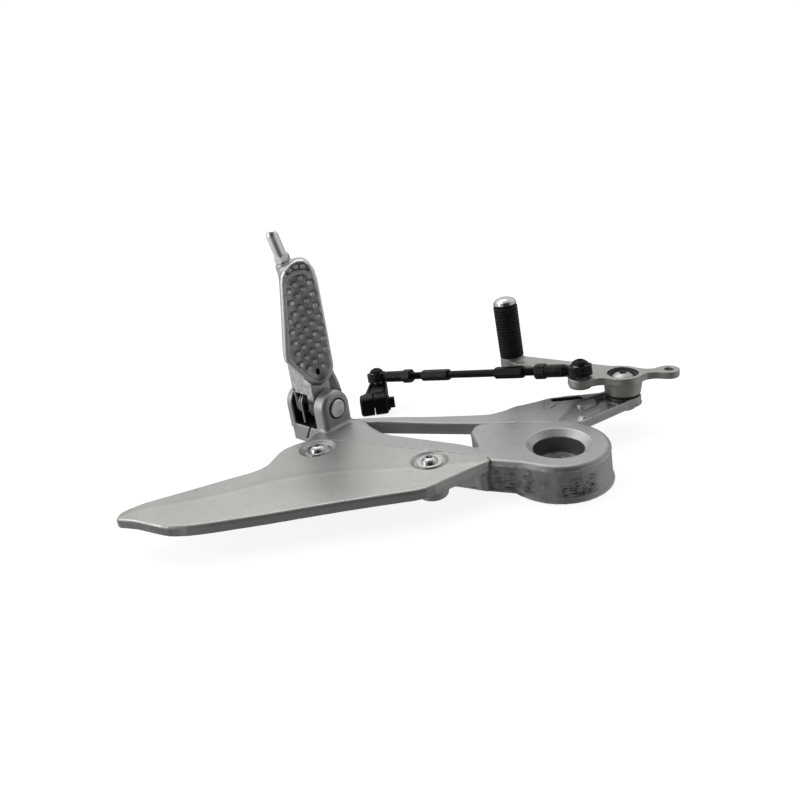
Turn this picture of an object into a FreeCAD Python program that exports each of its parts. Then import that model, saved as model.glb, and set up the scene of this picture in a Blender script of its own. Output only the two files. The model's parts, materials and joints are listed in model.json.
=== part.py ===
import FreeCAD, Part
import math
import os

os.makedirs("parts", exist_ok=True)

V = FreeCAD.Vector

# ---------------------------------------------------------------- dimensions
# frame: bore axis of the main boss is Z, z = 0 is the inboard face,
# +X points forward, +Y points down on the machine, +Z outboard
Z_TOP = 24.0            # outer face of the casting
BOSS_R0 = 33.0          # main boss radius at the inboard face
BOSS_R1 = 31.3          # main boss radius at the outer face
BOSS_LIP_R = 33.6       # lip round the inboard face
BOSS_LIP_H = 1.2
BORE_CHAMFER_R = 20.0
BORE_R = 15.8
BORE_CHAMFER_Z = 20.0
BORE_FLOOR_Z = 10.5
SEAT_R = 12.5
BOLT_HOLE_R = 6.25      # frame bolt, M12 clearance
LEG_TOP = 24.2          # leg beside the guard
SEAT_Z = 21.0           # rebate of the leg under the guard
LEG_BOTTOM = 2.0
STRUT_BOTTOM = 14.0
ARM_BOTTOM = 17.5
ARM_RIM_W = 3.0
POCKET_Z = 20.5

PIVOT = (62.4, 58.3)    # lever pivot
TOE = (-2.7, 115.7)     # toe peg
LUG = (33.3, 61.1)      # front ball
TAIL = (93.1, 54.4)     # tail eye
LEVER_Z0 = 34.0
LEVER_Z1 = 40.0
HUB_Z0 = 25.5
FRONT_BALL_Z = 45.0
REAR_BALL = (-110.8, 168.0, 21.0)

SCREWS = [(-80.9, -0.2), (-153.6, 38.2)]
SCREW_BOSS_R = 9.5
GUARD_T = 3.0
DISH_Z = 22.6
DISH_R0 = 9.5
DISH_R1 = 12.5

PIN_C = V(-138.9, 69.9, 38.0)   # pin axis at the outer face of the right ear
EAR_R = 13.0
EAR_BOTTOM = 10.0
S_EAR1 = 11.5           # right ear from 0 to here along the pin
S_TONGUE0 = 12.0
S_TONGUE1 = 19.5
S_NECK1 = 35.5
S_EAR2 = 36.0           # left ear
S_EAR3 = 42.0
PIN_R = 4.0
PIN_HOLE_R = 4.05
PEG_HOLE_R = 4.06

BALL_R = 5.6
RACE_R = 5.65
RACE_OUT_R = 6.6
EYE_R = 8.2
EYE_H = 7.0

CLAMP = (-115.4, 148.5)     # clamp bore
CLAMP_BORE_R = 5.5
CLAMP_H = 16.5
CLAMP_BORE_Z = 12.0     # the bore is closed at its outer end
ARM_PLATE_Z = 15.4
ARM_PAD_Z = 15.8        # pad under the rear ball
TOE_BOSS_R = 9.0
CLAMP_W = 22.8          # width across the clamp's two jaws
ARM_FOOT = (-113.4, 148.5)  # the plate's round end at the clamp

Q = math.sqrt(0.5)
A_AX = V(Q, -Q, 0)      # along the pin, toward its head
S_AX = V(-Q, Q, 0)      # along the pin, away from its head
B_AX = V(-Q, -Q, 0)     # fold direction


# ---------------------------------------------------------------- helpers
def prism(pts, z0, z1):
    vs = [V(p[0], p[1], z0) for p in pts]
    return Part.Face(Part.makePolygon(vs + [vs[0]])).extrude(V(0, 0, z1 - z0))


def cyl(x, y, z0, z1, r):
    return Part.makeCylinder(r, z1 - z0, V(x, y, z0))


def cone(x, y, z0, z1, r0, r1):
    return Part.makeCone(r0, r1, z1 - z0, V(x, y, z0))


def bar(c1, r1, c2, r2, z0, z1):
    """Flat link between two round ends, with straight tangent sides."""
    dx, dy = c2[0] - c1[0], c2[1] - c1[1]
    d = math.hypot(dx, dy)
    th = math.atan2(dy, dx)
    al = math.acos((r1 - r2) / d)
    pts = []
    for c, r, sg in ((c1, r1, 1), (c2, r2, 1), (c2, r2, -1), (c1, r1, -1)):
        pts.append((c[0] + r * math.cos(th + sg * al), c[1] + r * math.sin(th + sg * al)))
    body = prism(pts, z0, z1)
    return body.fuse([cyl(c1[0], c1[1], z0, z1, r1), cyl(c2[0], c2[1], z0, z1, r2)]).removeSplitter()


def hexprism(af, h, base, zdir, xdir):
    """Hexagonal bar along zdir starting at base."""
    z = V(zdir).normalize()
    x = V(xdir)
    x = (x - z * x.dot(z)).normalize()
    y = z.cross(x)
    r = af / math.sqrt(3.0)
    vs = []
    for i in range(6):
        a = math.pi / 3 * i + math.pi / 6
        vs.append(base + x * (r * math.cos(a)) + y * (r * math.sin(a)))
    return Part.Face(Part.makePolygon(vs + [vs[0]])).extrude(z * h)


def place(shape, origin, x, z):
    """Move a shape from local axes to origin with the given x and z axes."""
    zz = V(z).normalize()
    xx = V(x)
    xx = (xx - zz * xx.dot(zz)).normalize()
    yy = zz.cross(xx)
    s = shape.copy()
    s.Placement = FreeCAD.Placement(V(origin), FreeCAD.Rotation(xx, yy, zz, "ZXY"))
    return s


def rev(profile):
    """Solid of revolution about Z from (radius, z) points."""
    vs = [V(r, 0, z) for r, z in profile]
    return Part.Face(Part.makePolygon(vs + [vs[0]])).revolve(V(0, 0, 0), V(0, 0, 1), 360)


def dome_profile(r, z0, h, edge, n=7):
    """Points of a button head from its rim at z0 up to its crown."""
    out = [(r, z0), (r, z0 + edge)]
    hh = h - edge
    rad = (r * r + hh * hh) / (2 * hh)
    for i in range(1, n):
        rr = r * (1 - i / float(n))
        out.append((rr, z0 + edge + math.sqrt(rad * rad - rr * rr) - (rad - hh)))
    out.append((0.0, z0 + h))
    return out


def button_bolt(head_r, head_h, shank_r, length, socket_af, socket_d):
    """Button head bolt, head seat at z = 0, shank down."""
    prof = [(0.0, -length), (shank_r - 0.5, -length), (shank_r, -length + 0.5), (shank_r, 0.0)]
    prof += dome_profile(head_r, 0.0, head_h, 0.5)
    return rev(prof).cut(hexprism(socket_af, socket_d + 1, V(0, 0, head_h - socket_d), V(0, 0, 1), V(1, 0, 0)))


def one(shape):
    s = shape.removeSplitter()
    return s.Solids[0] if len(s.Solids) == 1 else s


def save(name, shape):
    shape.exportStep("parts/%s.step" % name)


def pin_pt(s, b=0.0, z=38.0):
    p = PIN_C + S_AX * s + B_AX * b
    return V(p.x, p.y, z)


def along_pin(s0, s1, r):
    return Part.makeCylinder(r, s1 - s0, pin_pt(s0), S_AX)


# ---------------------------------------------------------------- hanger casting
def ear(s0, s1):
    w = [pin_pt(s0, -EAR_R, EAR_BOTTOM), pin_pt(s0, EAR_R, EAR_BOTTOM), pin_pt(s0, EAR_R, 38.0), pin_pt(s0, -EAR_R, 38.0)]
    plate = Part.Face(Part.makePolygon(w + [w[0]])).extrude(S_AX * (s1 - s0))
    return plate.fuse(along_pin(s0, s1, EAR_R))


boss = cone(0, 0, 0, Z_TOP, BOSS_R0, BOSS_R1)
lip = cyl(0, 0, 0, BOSS_LIP_H, BOSS_LIP_R)

PLATFORM = [(-10, -27.2), (-47, -10.4), (-52, -7.5), (-49, 10), (-50.5, 33), (-47, 40), (-42, 43), (-28, 41), (-9, 36), (20, 22), (10, 0)]
platform = prism(PLATFORM, LEG_BOTTOM, Z_TOP)
LEG = [(-47, -11.5), (-66, 0), (-90, 5), (-148, 27), (-164, 32), (-166, 46), (-158, 62), (-148, 72), (-128, 79),
       (-119, 70.5), (-103.3, 44.4), (-48.8, 10)]
leg = prism(LEG, LEG_BOTTOM, LEG_TOP)
GUARD_OUT = [(-273.8, -9.5), (-273.8, -13.4), (-271.3, -15.9), (-264.2, -20.2), (-257.0, -23.8), (-248.4, -28.5), (-239.9, -33.0), (-235.9, -34.7),
             (-232.0, -35.6), (-224.9, -36.7), (-218.0, -37.0), (-211.0, -37.0), (-204.1, -36.7), (-182.5, -35.8), (-159.4, -34.4), (-136.2, -33.4),
             (-112.8, -33.2), (-93.0, -33.2), (-86.5, -32.4), (-80.5, -30.4), (-46.6, -13.6),
             (-44.8, -10.6), (-46.0, -6.4), (-49.7, -3.4), (-73.2, 9.2), (-98.1, 22.6), (-124.5, 36.7), (-134.9, 43.0), (-143.0, 47.6), (-150.0, 50.8), (-157.0, 51.8),
             (-164.0, 51.2), (-170.5, 48.4), (-176.5, 44.2), (-180.3, 38.6), (-183.4, 29.4), (-185.9, 23.2), (-190.0, 19.0), (-195.0, 16.3), (-204.8, 13.3), (-219.3, 8.6),
             (-233.4, 3.8), (-247.3, -0.6), (-256.0, -3.4), (-263.0, -5.0), (-269.0, -6.4), (-272.4, -7.6)]


def grown(pts, d, z0, z1):
    """Outline grown by d, as a prism."""
    return Part.Face(Part.makePolygon([V(x, y, z0) for x, y in pts + pts[:1]])).makeOffset2D(d).extrude(V(0, 0, z1 - z0))


rebate = grown(GUARD_OUT, 0.6, SEAT_Z, SEAT_Z + 30)
strut = prism([(-131.5, 81), (-120, 70.5), (-110, 68.3), (-41.6, 44.4), (-28, 40), (-9, 35), (-9.7, 62.9), (-17.5, 60.2), (-32, 57.4), (-46, 60.4), (-88.2, 71.4)],
              STRUT_BOTTOM, Z_TOP)
arm_pts = [(-18, 38), (18.3, 21.2), (71.4, 49.4), (74.0, 54.0), (60.0, 70.8), (48.3, 66.6), (35, 67.6), (24, 69.2), (12.5, 68.4), (1.2, 65.2), (-9.7, 62.9), (-17.5, 60.2)]
arm = prism(arm_pts, ARM_BOTTOM, Z_TOP)
arm_end = cyl(PIVOT[0], PIVOT[1], ARM_BOTTOM, Z_TOP, 12.6)
arm_core = cyl(PIVOT[0], PIVOT[1], 14.0, Z_TOP, 9.0)
arm_rib = prism([(0, 20), (10, 30), (24, 62), (14, 60), (-10, 44)], 6.0, Z_TOP)
mount2 = cyl(6, 52, 0, Z_TOP, 11.0)

base_pts = [pin_pt(0, -EAR_R), pin_pt(0, EAR_R), pin_pt(S_EAR3, EAR_R), pin_pt(S_EAR3, -EAR_R)]
clevis_base = prism([(p.x, p.y) for p in base_pts], EAR_BOTTOM, Z_TOP)
web_pts = [pin_pt(S_EAR1 - 1.0, -EAR_R), pin_pt(S_EAR1 - 1.0, -11.2), pin_pt(S_EAR2 + 1.0, -11.2), pin_pt(S_EAR2 + 1.0, -EAR_R)]
clevis_web = prism([(p.x, p.y) for p in web_pts], EAR_BOTTOM, 41.0)      # closes the clevis at its back
clevis_foot = cyl(pin_pt(17).x, pin_pt(17).y, 0, 12, 8.0)
bosses = [cyl(x, y, 0, SEAT_Z, SCREW_BOSS_R) for x, y in SCREWS]

hanger = boss.fuse([lip, platform, leg, strut, arm, arm_end, arm_core, arm_rib, mount2, clevis_base, clevis_foot,
                    ear(0, S_EAR1), ear(S_EAR2, S_EAR3), clevis_web] + bosses)

# pocket of the pivot arm, with two low bars inside it
pocket = prism([(15, 29), (20, 26), (62, 48.2), (49, 60.5), (36, 56.5), (30, 56.5), (22, 44)], POCKET_Z, Z_TOP + 1)
pocket = pocket.cut(cyl(PIVOT[0], PIVOT[1], 0, 40, 11.6))
frame_in = prism([(28.4, 54.6), (34.0, 57.6), (41.0, 58.4), (41.2, 54.8), (29.0, 49.6)], POCKET_Z, Z_TOP - 1.0)
frame_in = frame_in.fuse([prism([(24.6, 35.0), (38.8, 44.6), (40.0, 41.2), (26.2, 31.6)], POCKET_Z, Z_TOP - 1.0)])
slot = bar((15.7, 63.6), 2.9, (32.3, 61.9), 2.9, 8.0, Z_TOP + 1)

cuts = [
    cone(0, 0, BORE_CHAMFER_Z, Z_TOP, BORE_R, BORE_CHAMFER_R),
    cyl(0, 0, BORE_FLOOR_Z, Z_TOP, BORE_R),
    cyl(0, 0, BORE_FLOOR_Z - 0.5, Z_TOP, SEAT_R),
    cyl(0, 0, -1, Z_TOP, BOLT_HOLE_R),
    cone(0, 0, BORE_FLOOR_Z - 2.3, BORE_FLOOR_Z - 0.5, BOLT_HOLE_R, 8.05),
    pocket.cut(frame_in),
    rebate,
    slot,
    cyl(PIVOT[0], PIVOT[1], 0, 40, 4.05),
    cyl(6, 52, -1, 16, 4.2),
    along_pin(-5, S_EAR1 + 1, PIN_HOLE_R),
    along_pin(S_EAR2 - 1, S_EAR3 + 5, PIN_HOLE_R),
    along_pin(-5, 3.5, 7.4),
] + [cyl(x, y, 6.0, 40, 3.03) for x, y in SCREWS]
hanger = one(hanger.cut(cuts))
save("hanger_casting", hanger)


# ---------------------------------------------------------------- heel guard
RIDGE = [(-280.0, -14.0), (-241.0, -10.7), (-213.8, -8.1), (-193.0, -3.4), (-175.0, 2.0), (-143.0, 2.5), (-99.7, -6.2), (-30.0, -14.0)]


def ridge_y(x):
    for (x0, y0), (x1, y1) in zip(RIDGE, RIDGE[1:]):
        if x <= x1:
            return y0 + (y1 - y0) * (x - x0) / (x1 - x0)
    return RIDGE[-1][1]


def guard_z(x, y):
    """Height of the guard's outer face: a near strip that falls away from a ridge, and a dipped tip."""
    yr = ridge_y(x)
    z = 24.8
    if y < yr:
        z -= 1.2 * (min((yr - y) / 27.0, 1.6)) ** 1.2
    t = (-256.0 - x) / 18.0
    if t > 0:
        z -= 3.0 * min(t, 1.1) ** 2
    return z


GUARD_IN = [(-270.6, -9.6), (-270.4, -12.2), (-269.2, -13.6), (-262.6, -17.6), (-255.6, -21.0), (-246.9, -25.8), (-238.5, -30.3), (-234.8, -31.9),
            (-231.3, -32.7), (-224.6, -33.8), (-218.0, -34.0), (-211.0, -34.0), (-204.1, -33.7), (-182.5, -32.8), (-159.4, -31.4), (-136.2, -30.4),
            (-112.8, -30.2), (-93.2, -30.2), (-87.4, -29.5), (-81.8, -27.7), (-48.4, -11.2),
            (-40.0, -6.0), (-40.0, 90.0), (-240.0, 90.0), (-275.0, 10.0), (-275.0, -7.0)]


def guard_sheet(dz):
    rows = []
    for i in range(27):
        x = -290.0 + 10.0 * i
        rows.append([V(x, -60.0 + 6.0 * j, guard_z(x, -60.0 + 6.0 * j) + dz) for j in range(21)])
    surf = Part.BSplineSurface()
    surf.interpolate(rows)
    return surf.toShape()


outline = prism(GUARD_OUT, -20, 60)
top = guard_sheet(0.0).common(outline)
plate = top.Faces[0].extrude(V(0, 0, -GUARD_T))
edge_band = guard_sheet(0.0).common(outline.cut(prism(GUARD_IN, -20, 60)))
edge_lip = edge_band.Faces[0].extrude(V(0, 0, -6.8))
guard = plate.fuse([edge_lip])
guard = guard.cut([grown(PLATFORM, 0.5, 0, SEAT_Z), grown(LEG, 0.5, 0, SEAT_Z)])
guard = guard.fuse([cyl(x, y, SEAT_Z, DISH_Z + 0.8, 10.0) for x, y in SCREWS])
guard = guard.cut([cone(x, y, DISH_Z, DISH_Z + 3.5, DISH_R0, DISH_R1) for x, y in SCREWS] + [cyl(x, y, 0, 40, 4.6) for x, y in SCREWS])
save("heel_guard", one(guard))

collars = []
screws = []
for x, y in SCREWS:
    prof = [(3.15, SEAT_Z), (4.5, SEAT_Z), (4.5, DISH_Z), (8.3, DISH_Z), (8.3, DISH_Z + 0.7), (8.0, DISH_Z + 1.0), (3.15, DISH_Z + 1.0)]
    collars.append(place(rev(prof), V(x, y, 0), V(1, 0, 0), V(0, 0, 1)))
    screws.append(place(button_bolt(5.4, 3.3, 3.0, 16.0, 4.0, 2.2), V(x, y, DISH_Z + 1.0), V(1, 0.4, 0), V(0, 0, 1)))
save("guard_collars", Part.makeCompound(collars))
save("guard_screws", Part.makeCompound(screws))


# ---------------------------------------------------------------- clevis pin and its keepers
pin_prof = [(0.0, -0.9), (5.9, -0.9), (6.6, -0.3), (6.6, 3.4), (PIN_R, 3.4), (PIN_R, S_EAR3 + 1.05), (3.1, S_EAR3 + 1.05), (3.1, S_EAR3 + 2.0),
            (PIN_R, S_EAR3 + 2.0), (PIN_R, S_EAR3 + 3.3), (3.5, S_EAR3 + 3.8), (0.0, S_EAR3 + 3.8)]
save("footrest_pin", place(rev(pin_prof), PIN_C, V(0, 0, 1), S_AX))
washer = rev([(4.1, S_EAR3 + 0.05), (7.4, S_EAR3 + 0.05), (7.4, S_EAR3 + 0.95), (4.1, S_EAR3 + 0.95)])
save("pin_washer", place(washer, PIN_C, V(0, 0, 1), S_AX))
clip = rev([(3.15, S_EAR3 + 1.1), (6.2, S_EAR3 + 1.1), (6.2, S_EAR3 + 1.95), (3.15, S_EAR3 + 1.95)])
clip = clip.cut(Part.makeBox(10, 4.6, 4, V(0, -2.3, S_EAR3 - 0.5)))
save("pin_clip", place(clip, PIN_C, V(0, 0, -1), S_AX))

# torsion spring round the pin, one leg down on the clevis base, one up on the neck
SPRING_R = 8.8
WIRE_R = 1.1
COIL_TURNS = 2
COIL_PITCH = 2.4
COIL_S0 = 28.7
helix = Part.makeHelix(COIL_PITCH, COIL_PITCH * COIL_TURNS, SPRING_R)
prof = Part.Wire([Part.makeCircle(WIRE_R, V(SPRING_R, 0, 0), V(0, 1, 0))])
coil = Part.Wire(helix.Edges).makePipeShell([prof], True, True)
coil_solid = coil if coil.ShapeType == "Solid" else Part.Solid(Part.Shell(coil.Faces))
leg_a = Part.makeCylinder(WIRE_R, 13.2, V(SPRING_R, 0.0, 0), V(0, -1, 0))
leg_b = Part.makeCylinder(WIRE_R, 12.4, V(SPRING_R, 0.0, COIL_PITCH * COIL_TURNS), V(0, 1, 0))
spring = coil_solid.fuse([leg_a, leg_b])
save("return_spring", place(one(spring), pin_pt(COIL_S0), B_AX, S_AX))


# ---------------------------------------------------------------- footrest peg
BETA = math.radians(11.0)
T_AX = V(math.cos(BETA), math.sin(BETA), 0)
N_AX = V(math.sin(BETA), -math.cos(BETA), 0)
PEG_O = pin_pt(19.94, 0.0, 0.0)
PEG_OUT = [(-10.6, 130.5), (-9.4, 135.0), (-6.8, 138.8), (-2.2, 142.4), (3.0, 144.2), (8.0, 143.6), (11.4, 140.4), (13.4, 136.0), (14.4, 129.0),
           (14.8, 95.0), (14.8, 67.0), (13.4, 61.5), (9.4, 57.2), (3.0, 54.9), (-1.8, 56.8), (-7.4, 62.0), (-14.4, 71.4), (-18.4, 77.0), (-17.6, 84.0), (-14.4, 104.5)]
PEG_IN = [(-7.4, 130.0), (-5.4, 132.2), (0.0, 134.6), (6.0, 134.4), (10.6, 131.0), (11.4, 126.0), (11.8, 95.0), (11.8, 68.0), (10.4, 63.4),
          (7.2, 60.2), (3.4, 58.6), (-0.4, 60.2), (-5.8, 65.4), (-12.2, 73.8), (-14.8, 78.4), (-14.2, 84.0), (-11.2, 104.5)]
PEG_TIPIN = [(-5.6, 135.8), (0.0, 138.0), (6.2, 137.8), (10.0, 136.0), (8.8, 139.6), (6.4, 141.4), (2.8, 142.0), (-1.2, 140.2), (-4.6, 137.6)]
PEG_T0 = -8.0
PEG_T1 = 8.0
TREAD_N = 4.6
STUD_R = 1.5


def peg_pt(t, n, z):
    p = PEG_O + T_AX * t + N_AX * n
    return V(p.x, p.y, z)


def peg_prism(pts, n0, n1):
    vs = [peg_pt(t, n0, z) for t, z in pts]
    return Part.Face(Part.makePolygon(vs + [vs[0]])).extrude(N_AX * (n1 - n0))


def inside(pts, p, margin):
    c = False
    j = len(pts) - 1
    for i in range(len(pts)):
        xi, yi = pts[i]
        xj, yj = pts[j]
        if (yi > p[1]) != (yj > p[1]) and p[0] < (xj - xi) * (p[1] - yi) / (yj - yi) + xi:
            c = not c
        dx, dy = xj - xi, yj - yi
        u = max(0.0, min(1.0, ((p[0] - xi) * dx + (p[1] - yi) * dy) / (dx * dx + dy * dy)))
        if math.hypot(p[0] - xi - u * dx, p[1] - yi - u * dy) < margin:
            return False
        j = i
    return c


peg = peg_prism(PEG_OUT, PEG_T0, PEG_T1)
peg = peg.cut([peg_prism(PEG_IN, TREAD_N, PEG_T1 + 1), peg_prism(PEG_TIPIN, TREAD_N, PEG_T1 + 1)])
studs = []
for i in range(26):
    z = 60.5 + 3.15 * i
    for j in range(-5, 6):
        t = 5.2 * j + (2.6 if i % 2 else 0.0)
        if inside(PEG_IN, (t, z), 1.9):
            studs.append(Part.makeCone(STUD_R, STUD_R * 0.75, 3.6, peg_pt(t, TREAD_N - 0.2, z), N_AX))
for t, z in ((-2.4, 138.1), (2.2, 139.8), (6.6, 139.4)):
    studs.append(Part.makeCone(1.1, 0.8, 3.6, peg_pt(t, TREAD_N - 0.2, z), N_AX))
def pin_box(s0, s1, b0, b1, z0, z1):
    """Block square to the pin."""
    return prism([(q.x, q.y) for q in (pin_pt(s0, b0), pin_pt(s0, b1), pin_pt(s1, b1), pin_pt(s1, b0))], z0, z1)


neck = pin_box(S_TONGUE0, S_TONGUE1, -7.0, 10.0, 38.0, 70.0)
neck = neck.fuse([pin_box(S_TONGUE1, S_NECK1, -7.0, 10.0, 48.4, 70.0)])
# nothing of the neck stands in front of the tread, and the spring's upper leg has a notch
TREAD_FRONT = [(-30.0, 150.0), (30.0, 150.0), (30.0, 66.0), (15.0, 66.0), (13.6, 61.0), (9.4, 56.7), (3.0, 54.4), (-1.8, 56.3), (-7.4, 61.5), (-14.4, 70.9), (-19.0, 77.0), (-30.0, 84.0)]
LEG_S = COIL_S0 + COIL_PITCH * COIL_TURNS
neck = neck.cut([peg_prism(TREAD_FRONT, 6.5, 60.0), peg_prism(PEG_IN, TREAD_N, 60.0), pin_box(LEG_S - 1.5, LEG_S + 1.5, 7.2, 12.0, 47.0, 51.2)])
# heel of the peg, behind the right ear
HEEL = [(-6.0, 72.0), (14.6, 72.0), (14.8, 60.0), (17.3, 50.0), (18.4, 41.8), (12.5, 41.8), (9.0, 45.0), (4.0, 53.2), (-2.0, 53.2)]
heel = peg_prism(HEEL, PEG_T0, -1.0)
tongue = along_pin(S_TONGUE0, S_TONGUE1, 10.5).fuse([along_pin(S_TONGUE1 - 1, 26.0, 5.8)])
FEELER_BASE = peg_pt(-2.6, -4.8, 131.0)
FEELER_DIR = (peg_pt(-8.0, -4.8, 164.0) - peg_pt(-3.2, -4.8, 142.0)).normalize()
lug = Part.makeCylinder(7.0, 12.0, FEELER_BASE, FEELER_DIR)
peg = peg.fuse(studs + [neck, heel, tongue, lug])
peg = peg.cut([along_pin(S_TONGUE0 - 1, 30.0, PEG_HOLE_R), Part.makeCylinder(3.05, 14.0, FEELER_BASE + FEELER_DIR * 2.0, FEELER_DIR)])
save("footrest_peg", one(peg))

feeler = rev([(0.0, 2.5), (2.5, 2.5), (3.0, 3.0), (3.0, 12.0), (4.1, 12.0), (4.1, 30.6), (3.7, 32.2), (2.8, 33.4), (1.4, 34.2), (0.0, 34.4)])
feeler = feeler.fuse(hexprism(9.8, 4.6, V(0, 0, 12.05), V(0, 0, 1), V(1, 0, 0)))
save("bank_feeler", place(one(feeler), FEELER_BASE, V(1, 0, 0), FEELER_DIR))


# ---------------------------------------------------------------- shift lever
TOE_DIR = (V(TOE[0] - 3.2, TOE[1] + 1.0, 88.0) - V(TOE[0], TOE[1], 40.0)).normalize()
lever = cone(PIVOT[0], PIVOT[1], HUB_Z0, LEVER_Z0, 12.0, 13.0)
lever = lever.fuse([cyl(PIVOT[0], PIVOT[1], LEVER_Z0, LEVER_Z1, 13.2),
                    bar(PIVOT, 10.0, TOE, 8.6, LEVER_Z0 + 0.5, LEVER_Z1),
                    Part.makeCylinder(TOE_BOSS_R, 8.0, V(TOE[0], TOE[1], LEVER_Z1) - TOE_DIR * 5.4, TOE_DIR),
                    bar(PIVOT, 10.0, LUG, 8.0, LEVER_Z0, LEVER_Z1),
                    bar(PIVOT, 10.0, TAIL, 7.0, LEVER_Z0 + 0.5, LEVER_Z1 - 0.5)])
lever = lever.cut([cyl(PIVOT[0], PIVOT[1], 20, 50, 8.0),
                   cyl(PIVOT[0], PIVOT[1], 36.5, 50, 10.4),
                   cyl(LUG[0], LUG[1], 20, 50, 3.05),
                   cyl(TAIL[0], TAIL[1], 20, 50, 3.1),
                   Part.makeCylinder(4.05, 20, V(TOE[0], TOE[1], 40.0) - TOE_DIR * 10, TOE_DIR)])
save("shift_lever", one(lever))

bush = rev([(6.0, 25.6), (7.98, 25.6), (7.98, 36.4), (6.0, 36.4)])
save("pivot_bush", place(bush, V(PIVOT[0], PIVOT[1], 0), V(1, 0, 0), V(0, 0, 1)))
upper = rev([(7.6, 36.55), (10.3, 36.55), (10.3, 38.2), (9.6, 38.9), (8.4, 38.9), (7.6, 38.2)])
save("upper_seal", place(upper, V(PIVOT[0], PIVOT[1], 0), V(1, 0, 0), V(0, 0, 1)))
lower = rev([(6.3, Z_TOP), (11.4, Z_TOP), (11.4, Z_TOP + 1.35), (6.3, Z_TOP + 1.35)])
save("lower_seal", place(lower, V(PIVOT[0], PIVOT[1], 0), V(1, 0, 0), V(0, 0, 1)))
pbolt = [(0.0, 14.2), (3.5, 14.2), (4.0, 14.7), (4.0, Z_TOP), (5.95, Z_TOP), (5.95, 36.6)] + dome_profile(7.4, 36.6, 3.6, 0.9)
pbolt = rev(pbolt).cut(hexprism(5.0, 4, V(0, 0, 38.4), V(0, 0, 1), V(1, 0.3, 0)))
save("lever_pivot_bolt", place(pbolt, V(PIVOT[0], PIVOT[1], 0), V(1, 0, 0), V(0, 0, 1)))

# toe peg, local z along the peg from the lever face
toe_pin = rev([(0.0, -5.0), (4.0, -5.0), (4.0, 2.1), (4.4, 2.1), (4.4, 43.0), (8.0, 43.0), (8.6, 43.8)]
              + [(8.5, 44.6), (7.8, 46.0), (6.4, 47.2), (4.2, 48.1), (1.8, 48.5), (0.0, 48.6)])
save("toe_peg_pin", place(toe_pin, V(TOE[0], TOE[1], LEVER_Z1 + 0.6), V(1, 0, 0), TOE_DIR))
RIBS = 17
rub = [(4.42, 2.25), (8.6, 2.25)]
for i in range(RIBS):
    z0 = 2.7 + i * 2.35
    rub += [(9.0, z0), (9.0, z0 + 1.3), (8.3, z0 + 1.6), (8.3, z0 + 2.05)]
rub += [(8.6, 42.95), (4.42, 42.95)]
save("toe_peg_rubber", place(rev(rub), V(TOE[0], TOE[1], LEVER_Z1 + 0.6), V(1, 0, 0), TOE_DIR))


# ---------------------------------------------------------------- balls, bolts, rod ends
def ball(z_low, z_high):
    """Ball with a neck below and a shoulder above, z = 0 at its centre."""
    b = Part.makeSphere(BALL_R)
    b = b.fuse([Part.makeCylinder(4.0, -z_low - 2.5, V(0, 0, z_low)), Part.makeCylinder(4.0, z_high - 2.5, V(0, 0, 2.5))])
    return one(b.cut(Part.makeCylinder(3.05, 40, V(0, 0, -20))))


F_C = V(LUG[0], LUG[1], FRONT_BALL_Z)
R_C = V(*REAR_BALL)
ROD_L = (R_C - F_C).Length
ROD_DIR = (R_C - F_C).normalize()
BALL_TOP = 5.0
save("front_ball", place(ball(LEVER_Z1 - FRONT_BALL_Z, BALL_TOP), F_C, V(1, 0, 0), V(0, 0, 1)))
save("rear_ball", place(ball(ARM_PAD_Z - REAR_BALL[2], BALL_TOP), R_C, V(1, 0, 0), V(0, 0, 1)))
save("front_ball_bolt", place(button_bolt(5.6, 3.0, 3.0, BALL_TOP + FRONT_BALL_Z - LEVER_Z0 - 0.3, 4.0, 1.8), F_C + V(0, 0, BALL_TOP), V(1, 0.2, 0), V(0, 0, 1)))
save("rear_ball_bolt", place(button_bolt(5.6, 3.0, 3.0, BALL_TOP + REAR_BALL[2] - 4.3, 4.0, 1.8), R_C + V(0, 0, BALL_TOP), V(1, 0.5, 0), V(0, 0, 1)))

# rod local axes: x along the rod from the front ball to the rear ball, z is the eye axis
EYE_AX = V(0, 0, 1) - ROD_DIR * ROD_DIR.z
FRONT_EYE_AX = FreeCAD.Rotation(ROD_DIR, 5.0).multVec(EYE_AX)      # each eye sits rolled a little about the rod
REAR_EYE_AX = FreeCAD.Rotation(ROD_DIR, 8.0).multVec(EYE_AX)


def rod_end(shank_end):
    """Eye with its shank along +x, ending at shank_end."""
    e = Part.makeCylinder(EYE_R, EYE_H, V(0, 0, -EYE_H / 2))
    neck = Part.makeCone(3.2, 4.6, 5.0, V(7.0, 0, 0), V(1, 0, 0))
    shank = Part.makeCylinder(4.6, shank_end - 12.0, V(12.0, 0, 0), V(1, 0, 0))
    e = e.fuse([neck, shank])
    return e.cut([Part.makeCylinder(RACE_OUT_R, 20, V(0, 0, -10)), Part.makeCylinder(3.05, 30, V(10.5, 0, 0), V(1, 0, 0))])


def race():
    r = Part.makeCylinder(RACE_OUT_R - 0.02, 6.0, V(0, 0, -3.0))
    return r.cut(Part.makeSphere(RACE_R))


END_T = 25.0
save("front_rod_end", place(one(rod_end(END_T)), F_C, ROD_DIR, FRONT_EYE_AX))
save("rear_rod_end", place(one(rod_end(END_T + 4)), R_C, ROD_DIR * -1, REAR_EYE_AX))
save("front_race", place(race(), F_C, ROD_DIR, FRONT_EYE_AX))
save("rear_race", place(race(), R_C, ROD_DIR * -1, REAR_EYE_AX))


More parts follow.
